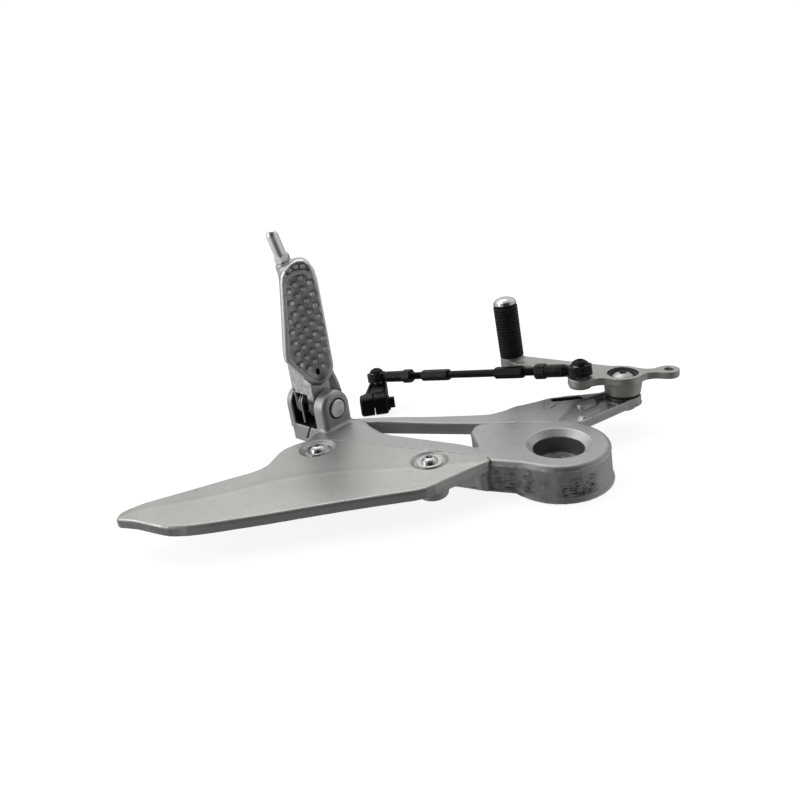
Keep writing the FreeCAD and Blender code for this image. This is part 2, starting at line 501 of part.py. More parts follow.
def nut(t0, t1):
    n = hexprism(10.0, t1 - t0, V(t0, 0, 0), V(1, 0, 0), V(0, 0, 1))
    cham = Part.makeCone(5.1, 6.0, 0.9, V(t0, 0, 0), V(1, 0, 0)).fuse([
        Part.makeCylinder(6.0, t1 - t0 - 1.8, V(t0 + 0.9, 0, 0), V(1, 0, 0)), Part.makeCone(6.0, 5.1, 0.9, V(t1 - 0.9, 0, 0), V(1, 0, 0))])
    return n.common(cham).cut(Part.makeCylinder(3.05, 30, V(t0 - 5, 0, 0), V(1, 0, 0)))


NUT1 = (END_T + 0.05, END_T + 8.0)
NUT2 = (ROD_L - END_T - 12.0, ROD_L - END_T - 4.05)
save("front_lock_nut", place(one(nut(*NUT1)), F_C, ROD_DIR, EYE_AX))
save("rear_lock_nut", place(one(nut(*NUT2)), F_C, ROD_DIR, EYE_AX))

HEX1 = (42.5, 66.0)
HEX2 = (107.0, 133.0)
X = V(1, 0, 0)
rod = Part.makeCylinder(3.0, HEX1[0] - 12.0 + 1.0, V(12.0, 0, 0), X).fuse([
    hexprism(8.0, HEX1[1] - HEX1[0], V(HEX1[0], 0, 0), X, V(0, 0, 1)),
    Part.makeCylinder(2.9, HEX2[0] - HEX1[1] + 2, V(HEX1[1] - 1, 0, 0), X),
    hexprism(8.0, HEX2[1] - HEX2[0], V(HEX2[0], 0, 0), X, V(0, 0, 1)),
    Part.makeCylinder(3.0, ROD_L - 12.0 - HEX2[1] + 1.0, V(HEX2[1] - 1, 0, 0), X)])
save("link_rod", place(one(rod), F_C, ROD_DIR, EYE_AX))


# ---------------------------------------------------------------- shift arm
EAR_Y = CLAMP[1] - 10.2         # pinch bolt axis
clamp_block = Part.makeCylinder(CLAMP_H / 2, CLAMP_W, V(CLAMP[0] - CLAMP_W / 2, EAR_Y + 0.85, CLAMP_H / 2), V(1, 0, 0))
clamp_block = clamp_block.fuse([Part.makeBox(CLAMP_W, 7.5, CLAMP_H, V(CLAMP[0] - CLAMP_W / 2, EAR_Y + 0.85, 0))])
sarm = cyl(CLAMP[0], CLAMP[1], 0, CLAMP_BORE_Z, 11.0)
sarm = sarm.fuse([clamp_block, bar(ARM_FOOT, 8.5, (REAR_BALL[0], REAR_BALL[1]), 7.7, 4.0, ARM_PLATE_Z),
                  cyl(REAR_BALL[0], REAR_BALL[1], 4.0, ARM_PAD_Z, 6.6)])
sarm = sarm.cut([cyl(CLAMP[0], CLAMP[1], -1, CLAMP_BORE_Z, CLAMP_BORE_R),
                 Part.makeBox(1.1, 14.5, CLAMP_H + 2, V(CLAMP[0] - 0.55, CLAMP[1] - 19.0, -1)),
                 Part.makeCylinder(3.05, 60.0, V(CLAMP[0] - 30.0, EAR_Y, CLAMP_H / 2), V(1, 0, 0)),
                 cyl(REAR_BALL[0], REAR_BALL[1], 0, 40, 3.05)])
save("shift_arm", one(sarm))
pb = rev([(0.0, -22.0), (2.5, -22.0), (3.0, -21.5), (3.0, 0.05), (6.4, 0.05), (6.4, 1.4), (4.4, 1.9), (4.4, 2.0), (0.0, 2.0)])
pb = pb.fuse(hexprism(8.0, 5.0, V(0, 0, 0.6), V(0, 0, 1), V(0, 1, 0)))
save("pinch_bolt", place(one(pb), V(CLAMP[0] + CLAMP_W / 2, EAR_Y, CLAMP_H / 2), V(0, 1, 0), V(1, 0, 0)))
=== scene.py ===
import bpy
import json
import math
import numpy as np
from mathutils import Matrix, Vector


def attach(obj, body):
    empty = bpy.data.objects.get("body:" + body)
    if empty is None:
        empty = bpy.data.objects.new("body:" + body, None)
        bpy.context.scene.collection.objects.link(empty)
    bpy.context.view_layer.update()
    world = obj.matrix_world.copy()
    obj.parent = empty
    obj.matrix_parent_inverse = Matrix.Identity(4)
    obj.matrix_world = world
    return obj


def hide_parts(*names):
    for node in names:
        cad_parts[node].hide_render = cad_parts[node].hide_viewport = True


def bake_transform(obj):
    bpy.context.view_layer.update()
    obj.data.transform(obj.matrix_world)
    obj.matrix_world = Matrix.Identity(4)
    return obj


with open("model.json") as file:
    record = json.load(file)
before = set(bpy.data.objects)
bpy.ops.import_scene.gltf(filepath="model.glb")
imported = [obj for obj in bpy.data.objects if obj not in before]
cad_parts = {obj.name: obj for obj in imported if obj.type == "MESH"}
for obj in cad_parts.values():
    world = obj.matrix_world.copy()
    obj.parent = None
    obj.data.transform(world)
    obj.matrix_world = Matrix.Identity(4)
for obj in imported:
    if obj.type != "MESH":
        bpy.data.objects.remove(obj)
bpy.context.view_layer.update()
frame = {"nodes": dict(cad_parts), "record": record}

NODES = frame["nodes"]
MM = 0.001
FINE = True

# ------------------------------------------------------------------ distance field helpers (millimetres)


def smooth(a, b, x):
    t = np.clip((x - a) / (b - a), 0.0, 1.0)
    return t * t * (3 - 2 * t)


def rmax(a, b, r):
    """Intersection with a rounded edge of radius r."""
    u = np.maximum(a + r, 0.0)
    v = np.maximum(b + r, 0.0)
    return np.minimum(np.maximum(a, b), -r) + np.sqrt(u * u + v * v)


def rmin(a, b, r):
    """Union with a fillet of radius r."""
    return -rmax(-a, -b, r)


def smin(a, b, k):
    h = np.clip(0.5 + 0.5 * (b - a) / k, 0.0, 1.0)
    return b + (a - b) * h - k * h * (1 - h)


def fillet(pts, r, k=3):
    """Polygon with its corners rounded."""
    out = []
    n = len(pts)
    for i in range(n):
        ri = r[i] if hasattr(r, "__len__") else r
        p = np.array(pts[i], float)
        u = np.array(pts[i - 1], float) - p
        v = np.array(pts[(i + 1) % n], float) - p
        lu, lv = np.linalg.norm(u), np.linalg.norm(v)
        u /= lu
        v /= lv
        ang = math.acos(max(-1.0, min(1.0, float(u @ v))))
        if ri <= 0 or ang > math.pi - 0.06:
            out.append(tuple(p))
            continue
        cut = min(ri / math.tan(ang / 2), 0.46 * min(lu, lv))
        p0, p1 = p + u * cut, p + v * cut
        for j in range(k + 1):
            t = j / k
            out.append(tuple((1 - t) ** 2 * p0 + 2 * t * (1 - t) * p + t * t * p1))
    return out


def poly(x, y, pts):
    """Signed distance to a polygon, negative inside."""
    d = np.full(x.shape, 1e18)
    s = np.ones(x.shape)
    j = len(pts) - 1
    for i in range(len(pts)):
        xi, yi = pts[i]
        xj, yj = pts[j]
        ex, ey = xj - xi, yj - yi
        wx, wy = x - xi, y - yi
        u = np.clip((wx * ex + wy * ey) / (ex * ex + ey * ey), 0.0, 1.0)
        bx, by = wx - ex * u, wy - ey * u
        d = np.minimum(d, bx * bx + by * by)
        c1 = y >= yi
        c2 = y < yj
        c3 = ex * wy > ey * wx
        s = np.where((c1 & c2 & c3) | (~c1 & ~c2 & ~c3), -s, s)
        j = i
    return s * np.sqrt(d)


def inside(pts, p, margin):
    return poly(np.array([float(p[0])]), np.array([float(p[1])]), pts)[0] < -margin


OFF8 = np.array([(i, j, k) for i in (0, 1) for j in (0, 1) for k in (0, 1)], np.int64)
EDGES = [(0, 4), (1, 5), (2, 6), (3, 7), (0, 2), (1, 3), (4, 6), (5, 7), (0, 1), (2, 3), (4, 5), (6, 7)]


def in_parts(f, p, n=250000):
    return np.concatenate([f(p[i:i + n]) for i in range(0, len(p), n)]) if len(p) else np.zeros(0)


def gradient(f, p, e):
    g = np.empty_like(p)
    for a in range(3):
        o = np.zeros(3)
        o[a] = e
        g[:, a] = (in_parts(f, p + o) - in_parts(f, p - o)) / (2 * e)
    return g


def settle(f, p, h, rounds=2):
    """Moves points onto the surface f = 0."""
    start = p.copy()
    for _ in range(rounds):
        d = in_parts(f, p)
        g = gradient(f, p, 0.08)
        g2 = np.maximum((g * g).sum(1), 0.2)
        p = p - g * np.clip(d / g2, -0.6 * h, 0.6 * h)[:, None]
    move = p - start
    far = np.linalg.norm(move, axis=1)
    scale = np.minimum(1.0, 0.9 * h / np.maximum(far, 1e-9))
    return start + move * scale[:, None]


def surface(f, lo, hi, h, levels=3):
    """Quads of the surface f = 0 on a sparse grid."""
    lo = np.array(lo, float)
    hi = np.array(hi, float)
    step = h * 2 ** levels
    n = np.ceil((hi - lo) / step).astype(np.int64)
    cells = np.stack(np.meshgrid(*[np.arange(k) for k in n], indexing="ij"), -1).reshape(-1, 3).astype(np.int64)
    s = step
    for level in range(levels + 1):
        d = in_parts(f, lo + (cells + 0.5) * s)
        cells = cells[np.abs(d) < s * 0.866 * 1.3 + 0.25]
        if level < levels:
            cells = (cells[:, None, :] * 2 + OFF8[None]).reshape(-1, 3)
            s /= 2
    dims = n * 2 ** levels + 2

    def key(c):
        return (c[..., 0] * dims[1] + c[..., 1]) * dims[2] + c[..., 2]

    ck = key(cells[:, None, :] + OFF8[None])
    uniq, inv = np.unique(ck, return_inverse=True)
    corner = np.stack([uniq // (dims[1] * dims[2]), (uniq // dims[2]) % dims[1], uniq % dims[2]], -1)
    val = in_parts(f, lo + corner * h)[inv].reshape(-1, 8)
    neg = val < 0
    live = neg.any(1) & ~neg.all(1)
    cells, val, neg = cells[live], val[live], neg[live]
    order = np.argsort(key(cells))
    cells, val, neg = cells[order], val[order], neg[order]
    keys = key(cells)
    acc = np.zeros((len(cells), 3))
    cnt = np.zeros(len(cells))
    for a, b in EDGES:
        m = neg[:, a] != neg[:, b]
        t = val[m, a] / (val[m, a] - val[m, b])
        acc[m] += OFF8[a] + t[:, None] * (OFF8[b] - OFF8[a])
        cnt[m] += 1
    verts = lo + (cells + acc / cnt[:, None]) * h
    quads = []
    for a in range(3):
        ea, eb, ec = (np.eye(3, dtype=np.int64)[(a + i) % 3] for i in range(3))
        far = int(ea @ np.array([4, 2, 1]))
        m = np.nonzero(neg[:, 0] != neg[:, far])[0]
        c = cells[m]
        ids = []
        ok = np.ones(len(m), bool)
        for o in (0 * eb, -eb, -eb - ec, -ec):
            k = key(c + o)
            pos = np.clip(np.searchsorted(keys, k), 0, len(keys) - 1)
            ok &= (keys[pos] == k) & ((c + o) >= 0).all(1)
            ids.append(pos)
        q = np.stack(ids, 1)
        q = np.where(neg[m, 0][:, None], q, q[:, ::-1])[ok]
        quads.append(q)
    return verts, np.concatenate(quads)


def new_object(name, verts, faces):
    mesh = bpy.data.meshes.new(name)
    mesh.from_pydata(np.asarray(verts).tolist(), [], np.asarray(faces).tolist() if not isinstance(faces, list) else faces)
    mesh.update()
    obj = bpy.data.objects.new(name, mesh)
    bpy.context.scene.collection.objects.link(obj)
    return obj


def solid(name, f, lo, hi, h, triangles):
    """Mesh object of the solid f < 0, with its normals taken from f."""
    v, q = surface(f, lo, hi, h)
    v = settle(f, v, h)
    obj = new_object(name, v * MM, q)
    count = 2 * len(q)
    if count > triangles:
        mod = obj.modifiers.new("thin", "DECIMATE")
        mod.ratio = triangles / count
        dg = bpy.context.evaluated_depsgraph_get()
        mesh = bpy.data.meshes.new_from_object(obj.evaluated_get(dg))
        obj.modifiers.clear()
        obj.data = mesh
    mesh = obj.data
    co = np.empty(len(mesh.vertices) * 3)
    mesh.vertices.foreach_get("co", co)
    p = co.reshape(-1, 3) / MM
    p = settle(f, p, h, 1)
    mesh.vertices.foreach_set("co", (p * MM).ravel())
    g = gradient(f, p, 0.12)
    g /= np.maximum(np.linalg.norm(g, axis=1), 1e-9)[:, None]
    mesh.polygons.foreach_set("use_smooth", np.ones(len(mesh.polygons), bool))
    mesh.update()
    mesh.normals_split_custom_set_from_vertices(g.tolist())
    print(name, len(mesh.polygons), "faces")
    return obj


# ------------------------------------------------------------------ shared geometry
Q = math.sqrt(0.5)
PIN = (-138.9, 69.9, 38.0)
PIVOT = (62.4, 58.3)
TOE = (-2.7, 115.7)
LUG = (33.3, 61.1)
TAIL = (93.1, 54.4)
SCREWS = [(-80.9, -0.2), (-153.6, 38.2)]
CLAMP = (-115.4, 148.5)
FOOT = (-113.4, 148.5)
REAR = (-110.8, 168.0)
SEAT_Z = 21.0


def pin_frame(x, y):
    dx, dy = x - PIN[0], y - PIN[1]
    return (dy - dx) * Q, -(dx + dy) * Q


def pin_pt(s, b=0.0, z=38.0):
    return ((PIN[0] - s * Q - b * Q), (PIN[1] + s * Q - b * Q), z)


PLATFORM = fillet([(-10, -27.2), (-47, -10.4), (-52, -7.5), (-49, 10), (-50.5, 33), (-47, 40), (-42, 43), (-28, 41), (-9, 36), (20, 22), (10, 0)],
                  [0, 0, 3, 0, 5, 5, 5, 6, 8, 0, 0])
LEG = fillet([(-47, -11.5), (-66, 0), (-90, 5), (-148, 27), (-164, 32), (-166, 46), (-158, 62), (-148, 72), (-128, 79),
              (-119, 70.5), (-103.3, 44.4), (-48.8, 10)], [0, 0, 4, 6, 6, 6, 6, 6, 4, 5, 3, 3])
GUARD_OUT = [(-273.8, -9.5), (-273.8, -13.4), (-271.3, -15.9), (-264.2, -20.2), (-257.0, -23.8), (-248.4, -28.5), (-239.9, -33.0), (-235.9, -34.7),
             (-232.0, -35.6), (-224.9, -36.7), (-218.0, -37.0), (-211.0, -37.0), (-204.1, -36.7), (-182.5, -35.8), (-159.4, -34.4), (-136.2, -33.4),
             (-112.8, -33.2), (-93.0, -33.2), (-86.5, -32.4), (-80.5, -30.4), (-46.6, -13.6),
             (-44.8, -10.6), (-46.0, -6.4), (-49.7, -3.4), (-73.2, 9.2), (-98.1, 22.6), (-124.5, 36.7), (-134.9, 43.0), (-143.0, 47.6), (-150.0, 50.8), (-157.0, 51.8),
             (-164.0, 51.2), (-170.5, 48.4), (-176.5, 44.2), (-180.3, 38.6), (-183.4, 29.4), (-185.9, 23.2), (-190.0, 19.0), (-195.0, 16.3), (-204.8, 13.3), (-219.3, 8.6),
             (-233.4, 3.8), (-247.3, -0.6), (-256.0, -3.4), (-263.0, -5.0), (-269.0, -6.4), (-272.4, -7.6)]
GUARD_IN = [(-270.6, -9.6), (-270.4, -12.2), (-269.2, -13.6), (-262.6, -17.6), (-255.6, -21.0), (-246.9, -25.8), (-238.5, -30.3), (-234.8, -31.9),
            (-231.3, -32.7), (-224.6, -33.8), (-218.0, -34.0), (-211.0, -34.0), (-204.1, -33.7), (-182.5, -32.8), (-159.4, -31.4), (-136.2, -30.4),
            (-112.8, -30.2), (-93.2, -30.2), (-87.4, -29.5), (-81.8, -27.7), (-48.4, -11.2),
            (-40.0, -6.0), (-40.0, 90.0), (-240.0, 90.0), (-275.0, 10.0), (-275.0, -7.0)]
STRUT = fillet([(-131.5, 81), (-120, 70.5), (-110, 68.3), (-41.6, 44.4), (-28, 40), (-9, 35), (-9.7, 62.9), (-17.5, 60.2), (-32, 57.4), (-46, 60.4), (-88.2, 71.4)],
               [0, 4, 4, 2, 0, 0, 10, 12, 14, 10, 10])
ARM = fillet([(-18, 38), (18.3, 21.2), (71.4, 49.4), (74.0, 54.0), (60.0, 70.8), (48.3, 66.6), (35, 67.6), (24, 69.2), (12.5, 68.4), (1.2, 65.2), (-9.7, 62.9), (-17.5, 60.2)],
             [0, 0, 3, 3, 3, 6, 8, 8, 8, 8, 8, 0])
POCKET = fillet([(9.0, 31.0), (17.6, 25.4), (20.2, 24.4), (67.5, 49.4), (60.0, 66.0), (47.0, 62.0), (36.0, 58.6), (28.0, 58.4)], [2, 2, 2, 2, 2, 3, 3, 2])
BAR1 = fillet([(28.6, 53.8), (34.0, 56.8), (41.0, 57.8), (41.2, 55.0), (30.0, 50.2)], 1.2)
BAR2 = fillet([(25.0, 35.2), (38.4, 44.2), (39.8, 41.6), (26.6, 32.4)], 1.0)
PATCH = fillet([(8.6, 51.0), (14.3, 56.4), (21.6, 56.6), (18.3, 52.6), (12.5, 49.4)], 1.0)

# ------------------------------------------------------------------ hanger casting


def f_hanger(P):
    x, y, z = P[:, 0], P[:, 1], P[:, 2]
    rr = np.hypot(x, y)
    low = 24.0 - np.clip(z, 0.0, 24.0)
    boss2 = (rr - (31.3 + 1.7 * low / 24.0)) * 0.995
    pl2 = poly(x, y, PLATFORM)
    lg2 = poly(x, y, LEG)
    plan = smin(boss2, pl2 + 0.02 * low, 3.5)
    plan = rmin(plan, lg2 + 0.03 * low, 3.0)
    bevel = smooth(-98, -105, x) * smooth(44, 50, y) * (1 - smooth(-116, -124, x))
    rt = 3.0 - 1.3 * smooth(-52, -62, x) + 3.6 * bevel
    step = 0.35 * smooth(20.7, 20.2, z) * smooth(-60, -54, x)
    body = rmax(plan + step, z - 24.0 - 0.2 * smooth(-48, -60, x), rt)
    body = rmax(body, 2.6 * smooth(0.3, 3.0, boss2) - z, 0.5)
    lip = rmax(rmax(rr - 33.5, z - 1.2, 0.5), -z, 0.2)
    lip = np.minimum(lip, rmax(rmax(np.minimum(pl2, lg2 + 0.4), z - 3.6, 0.5), 2.2 - z, 0.4))
    body = smin(body, lip, 0.4)
    # far strut and pivot arm
    st2 = poly(x, y, STRUT)
    rp_ = np.hypot(x - PIVOT[0], y - PIVOT[1])
    a2 = rmin(poly(x, y, ARM), rp_ - 12.6, 2.0)
    far2 = rmin(st2, a2, 3.0) + 0.8 * smooth(12, 20, x) * smooth(18.6, 19.4, z)
    zt = 24.0 - 1.2 * smooth(-112, -70, x) * (1 - smooth(-38, -6, x))
    far = rmax(rmax(far2, z - zt, 1.3), 14.0 + 3.5 * smooth(0, 14, x) - z, 0.8)
    far = np.minimum(far, rmax(rp_ - 9.0, np.maximum(14.0 - z, z - 20.0), 0.8))
    rib = rmax(poly(x, y, [(0, 20), (10, 30), (24, 62), (14, 60), (-10, 44)]), np.maximum(6.0 - z, z - 20.0), 1.0)
    m2 = rmax(np.hypot(x - 6, y - 52) - 11.0, np.maximum(-z, z - 20.0), 0.8)
    under = rmin(rib, m2, 2.0)
    far = np.where(z < 20.0, rmin(far, under, 1.2), np.minimum(far, under))
    body = np.minimum(body, far)
    # clevis
    s, b = pin_frame(x, y)
    zz = z - 38.0
    e2 = np.hypot(b, np.maximum(zz, 0)) - 13.0
    ear1 = rmax(e2, np.abs(s - 5.75) - 5.75, np.where(s < 5.75, 4.2, 1.3))
    ear1 = np.maximum(ear1, 21.0 - z)
    ear2 = np.maximum(rmax(e2, np.abs(s - 39.0) - 3.0, 1.4), 21.0 - z)
    base = rmax(rmax(np.abs(s - 21.0) - 20.7, np.abs(b) - 12.6, 2.2), np.maximum(z - 24.0, 10.0 - z), 1.0)
    ft = pin_pt(17.0)
    base = rmin(base, rmax(np.hypot(x - ft[0], y - ft[1]) - 8.0, np.maximum(-z, z - 12.0), 0.8), 1.5)
    # bosses under the guard screws
    for sx, sy in SCREWS:
        rd = np.hypot(x - sx, y - sy + 0.6)
        bos = rmax((rd - (9.6 + 0.16 * np.clip(z, 0, 16))) * 0.98, np.maximum(-z, z - SEAT_Z), 1.6)
        body = rmin(body, bos, 1.2)
    base = np.minimum(base, rmax(rmax(np.abs(b + 12.0) - 0.75, np.abs(s - 23.5) - 13.0, 0.3), np.maximum(20.0 - z, z - 40.9), 0.6))
    body = np.minimum(body, base)
    body = rmin(body, ear1, 2.4)
    body = rmin(body, ear2, 1.6)
    # seat of the guard
    body = np.maximum(body, -np.maximum(poly(x, y, GUARD_OUT) - 0.6, SEAT_Z - z))
    # pocket of the arm with its sloped end and two bars
    sl = (x - 9.5) * 0.782 - (y - 31.0) * 0.623
    zf = 24.6 - 4.3 * smooth(-2.0, 4.6, sl)
    zf = np.maximum(zf, 23.0 - 1.5 * np.maximum(poly(x, y, BAR1) - 0.9, 0))
    zf = np.maximum(zf, 23.0 - 1.5 * np.maximum(poly(x, y, BAR2) - 0.9, 0))
    pk = rmax(poly(x, y, POCKET), 11.6 - rp_, 1.0)
    pk = rmax(pk, (zf - z) * 0.5, 0.6)
    body = rmax(body, -pk, 0.7)
    # shallow marks beside the pocket, and the slot
    patch = np.maximum(poly(x, y, PATCH), 23.2 + 0.06 * (x - 9.0) - z)
    body = rmax(body, -patch, 0.25)
    lx, ly = (x - 4.4), (y - 55.2)
    la = lx * 0.97 - ly * 0.24
    lb = lx * 0.24 + ly * 0.97
    line = np.maximum(np.maximum(np.abs(la) - 0.9, np.abs(lb) - 5.6), np.abs(z - 24.0) - 0.4)
    body = smin(body, line, 0.4)
    u = np.clip((x - 15.7) / 16.6, 0, 1)
    slot = np.hypot(x - 15.7 - 16.6 * u, y - 63.6 + 1.7 * u) - 2.9
    body = rmax(body, -np.maximum(slot, 8.0 - z), 0.6)
    # bore with its chamfer, seat and bolt hole
    cut = np.minimum((rr - 15.8 - 1.05 * (z - 20.0)) * 0.69, np.maximum(rr - 15.8, 10.5 - z))
    cut = np.where(z < 18.0, np.maximum(rr - 15.8, 10.5 - z), cut)
    cut = np.minimum(cut, np.maximum(rr - 12.5, 9.9 - z))
    cut = np.minimum(cut, rr - 6.25)
    cut = np.minimum(cut, np.maximum((rr - 6.25 - (z - 8.2)) * 0.7, z - 12.0))
    body = rmax(body, -cut, 0.3)
    # pin bore, sunk for its head
    rp = np.hypot(b, zz)
    pin = np.minimum(rp - 4.05, np.maximum(rp - 7.4, s - 3.5))
    body = rmax(body, -pin, 0.35)
    # slanted cleft in the near face of the clevis base
    cl = np.abs((s - 22.3) * 0.86 + (z - 19.4) * 0.51) - 0.75
    cleft = np.maximum(np.maximum(cl, np.abs(z - 20.0) - 6.0), 10.6 - b)
    body = np.maximum(body, -np.maximum(cleft, np.abs(s - 22.0) - 9.0))
    # plain holes
    hole = rp_ - 4.05
    hole = np.minimum(hole, np.maximum(np.hypot(x - 6, y - 52) - 4.2, z - 16.0))
    for sx, sy in SCREWS:
        hole = np.minimum(hole, np.maximum(np.hypot(x - sx, y - sy) - 3.05, 6.0 - z))
    return np.maximum(rmax(body, -hole, 0.2), 0.03 - z)


# ------------------------------------------------------------------ heel guard
_rx = np.array([-290.0, -280.0, -241.0, -213.8, -193.0, -175.0, -143.0, -99.7, -30.0, -20.0])
_ry = np.array([-14.5, -14.0, -10.7, -8.1, -3.4, 2.0, 2.5, -6.2, -14.0, -15.0])
_gx = np.linspace(-290, -20, 271)
_gy = np.interp(_gx, _rx, _ry)
_gy = np.convolve(np.pad(_gy, 12, mode="edge"), np.ones(25) / 25.0, mode="valid")


def guard_top(x, y):
    yr = np.interp(x, _gx, _gy)
    w = 1.8
    t = (yr - y) / w
    fall = w * np.where(t > 30, t, np.log1p(np.exp(np.clip(t, -40, 30))))
    z = 24.75 - 0.045 * fall + 0.16 * np.exp(-((y - yr) / 2.6) ** 2)
    return z - 3.0 * np.clip((-256.0 - x) / 18.0, 0, 1.1) ** 2


def f_guard(P):
    x, y, z = P[:, 0], P[:, 1], P[:, 2]
    d2 = poly(x, y, GUARD_OUT)
    g0 = guard_top(x, y)
    g = g0
    zb = g0 - 3.0
    hole = np.full(x.shape, 1e3)
    for sx, sy in SCREWS:
        rd = np.hypot(x - sx, y - sy)
        dish = 22.6 + 2.7 * smooth(8.8, 13.6, rd) + np.maximum(rd - 12.6, 0) * 1.2
        g = smin(g, dish, 0.7)
        zb = np.where(rd < 10.2, SEAT_Z, zb)
        hole = np.minimum(hole, rd - 4.6)
    yr = np.interp(x, _gx, _gy)
    near = np.maximum(1 - smooth(-10, -2, y - yr), smooth(-256, -264, x))
    end = smooth(-92, -70, x) * (1 - smooth(-8, 4, y - yr + 0.25 * (x + 50)))
    r = 0.8 + 1.2 * near + 1.6 * end
    out = rmax(d2 + 0.03, (z - g) * 0.93, r)
    hollow = rmax(poly(x, y, GUARD_IN), (z - zb) * 0.93, 0.8)
    body = np.maximum(out, -hollow)
    body = rmax(body, g0 - 6.75 - z, 0.6)
    clear = np.maximum(np.minimum(poly(x, y, PLATFORM), poly(x, y, LEG)) - 0.5, z - SEAT_Z)
    body = np.maximum(body, -clear)
    return rmax(body, -hole, 0.3)


# ------------------------------------------------------------------ footrest peg
BETA = math.radians(11.0)
CB, SB = math.cos(BETA), math.sin(BETA)
PEG_OUT = fillet([(-10.6, 130.5), (-9.4, 135.0), (-6.8, 138.8), (-2.2, 142.4), (3.0, 144.2), (8.0, 143.6), (11.4, 140.4), (13.4, 136.0), (14.4, 129.0),
                  (14.8, 95.0), (14.8, 67.0), (13.4, 61.5), (9.4, 57.2), (3.0, 54.9), (-1.8, 56.8), (-7.4, 62.0), (-14.4, 71.4), (-18.4, 77.0), (-17.6, 84.0), (-14.4, 104.5)], 3.0, 2)
PEG_IN = fillet([(-7.2, 130.0), (-5.4, 132.2), (0.0, 134.6), (6.0, 134.4), (11.0, 131.0), (12.7, 126.0), (13.2, 95.0), (13.2, 68.0), (11.6, 63.0),
                 (7.6, 59.2), (3.4, 57.6), (-0.4, 59.2), (-5.2, 64.6), (-11.0, 73.0), (-13.8, 78.0), (-13.2, 84.0), (-10.4, 104.5)], 3.0, 2)
PEG_TIP = fillet([(-6.4, 135.0), (0.0, 137.4), (6.4, 137.2), (10.8, 134.6), (10.2, 138.8), (7.2, 141.8), (2.8, 142.6), (-1.6, 140.8), (-5.2, 137.8)], 1.0, 2)
TREAD_FRONT = [(-30.0, 150.0), (30.0, 150.0), (30.0, 66.0), (15.0, 66.0), (13.6, 61.0), (9.4, 56.7), (3.0, 54.4), (-1.8, 56.3), (-7.4, 61.5), (-14.4, 70.9), (-19.0, 77.0), (-30.0, 84.0)]
HEEL = fillet([(-6.0, 72.0), (14.6, 72.0), (14.8, 60.0), (17.3, 50.0), (18.4, 41.8), (12.5, 41.8), (9.0, 45.0), (4.0, 53.2), (-2.0, 53.2)], [0, 0, 4, 4, 1.5, 1.5, 1, 1, 1])
NECK = fillet([(12.0, 36.0), (19.5, 36.0), (19.5, 48.4), (35.5, 48.4), (35.5, 70.0), (12.0, 70.0)], [0, 0, 0.8, 1.0, 0, 0])
TL_Z = np.array([58.0, 60.0, 65.0, 73.4, 78.4, 84.0, 104.5, 130.0, 134.0])
TL_T = np.array([3.0, -0.4, -5.2, -11.0, -13.8, -13.2, -10.4, -7.2, -2.0])
COL, PITCH = 4.9, 8.0
STUD_OK = np.zeros((15, 31), bool)
for _j in range(-7, 8):
    for _i in range(-15, 16):
        _zc = 96.0 + 4.0 * (_j % 2) + PITCH * _i
        _tc = COL * _j - 0.07 * (_zc - 100.0) + 0.6
        STUD_OK[_j + 7, _i + 15] = inside(PEG_IN, (_tc, _zc), 0.9)
STUD_OK[7, 11] = False
FEEL_P = np.array([-153.0 - 2.6 * CB - 4.8 * SB, 84.0 - 2.6 * SB + 4.8 * CB, 131.0])
_fd = np.array([-4.8 * CB, -4.8 * SB, 22.0])
FEEL_D = _fd / np.linalg.norm(_fd)


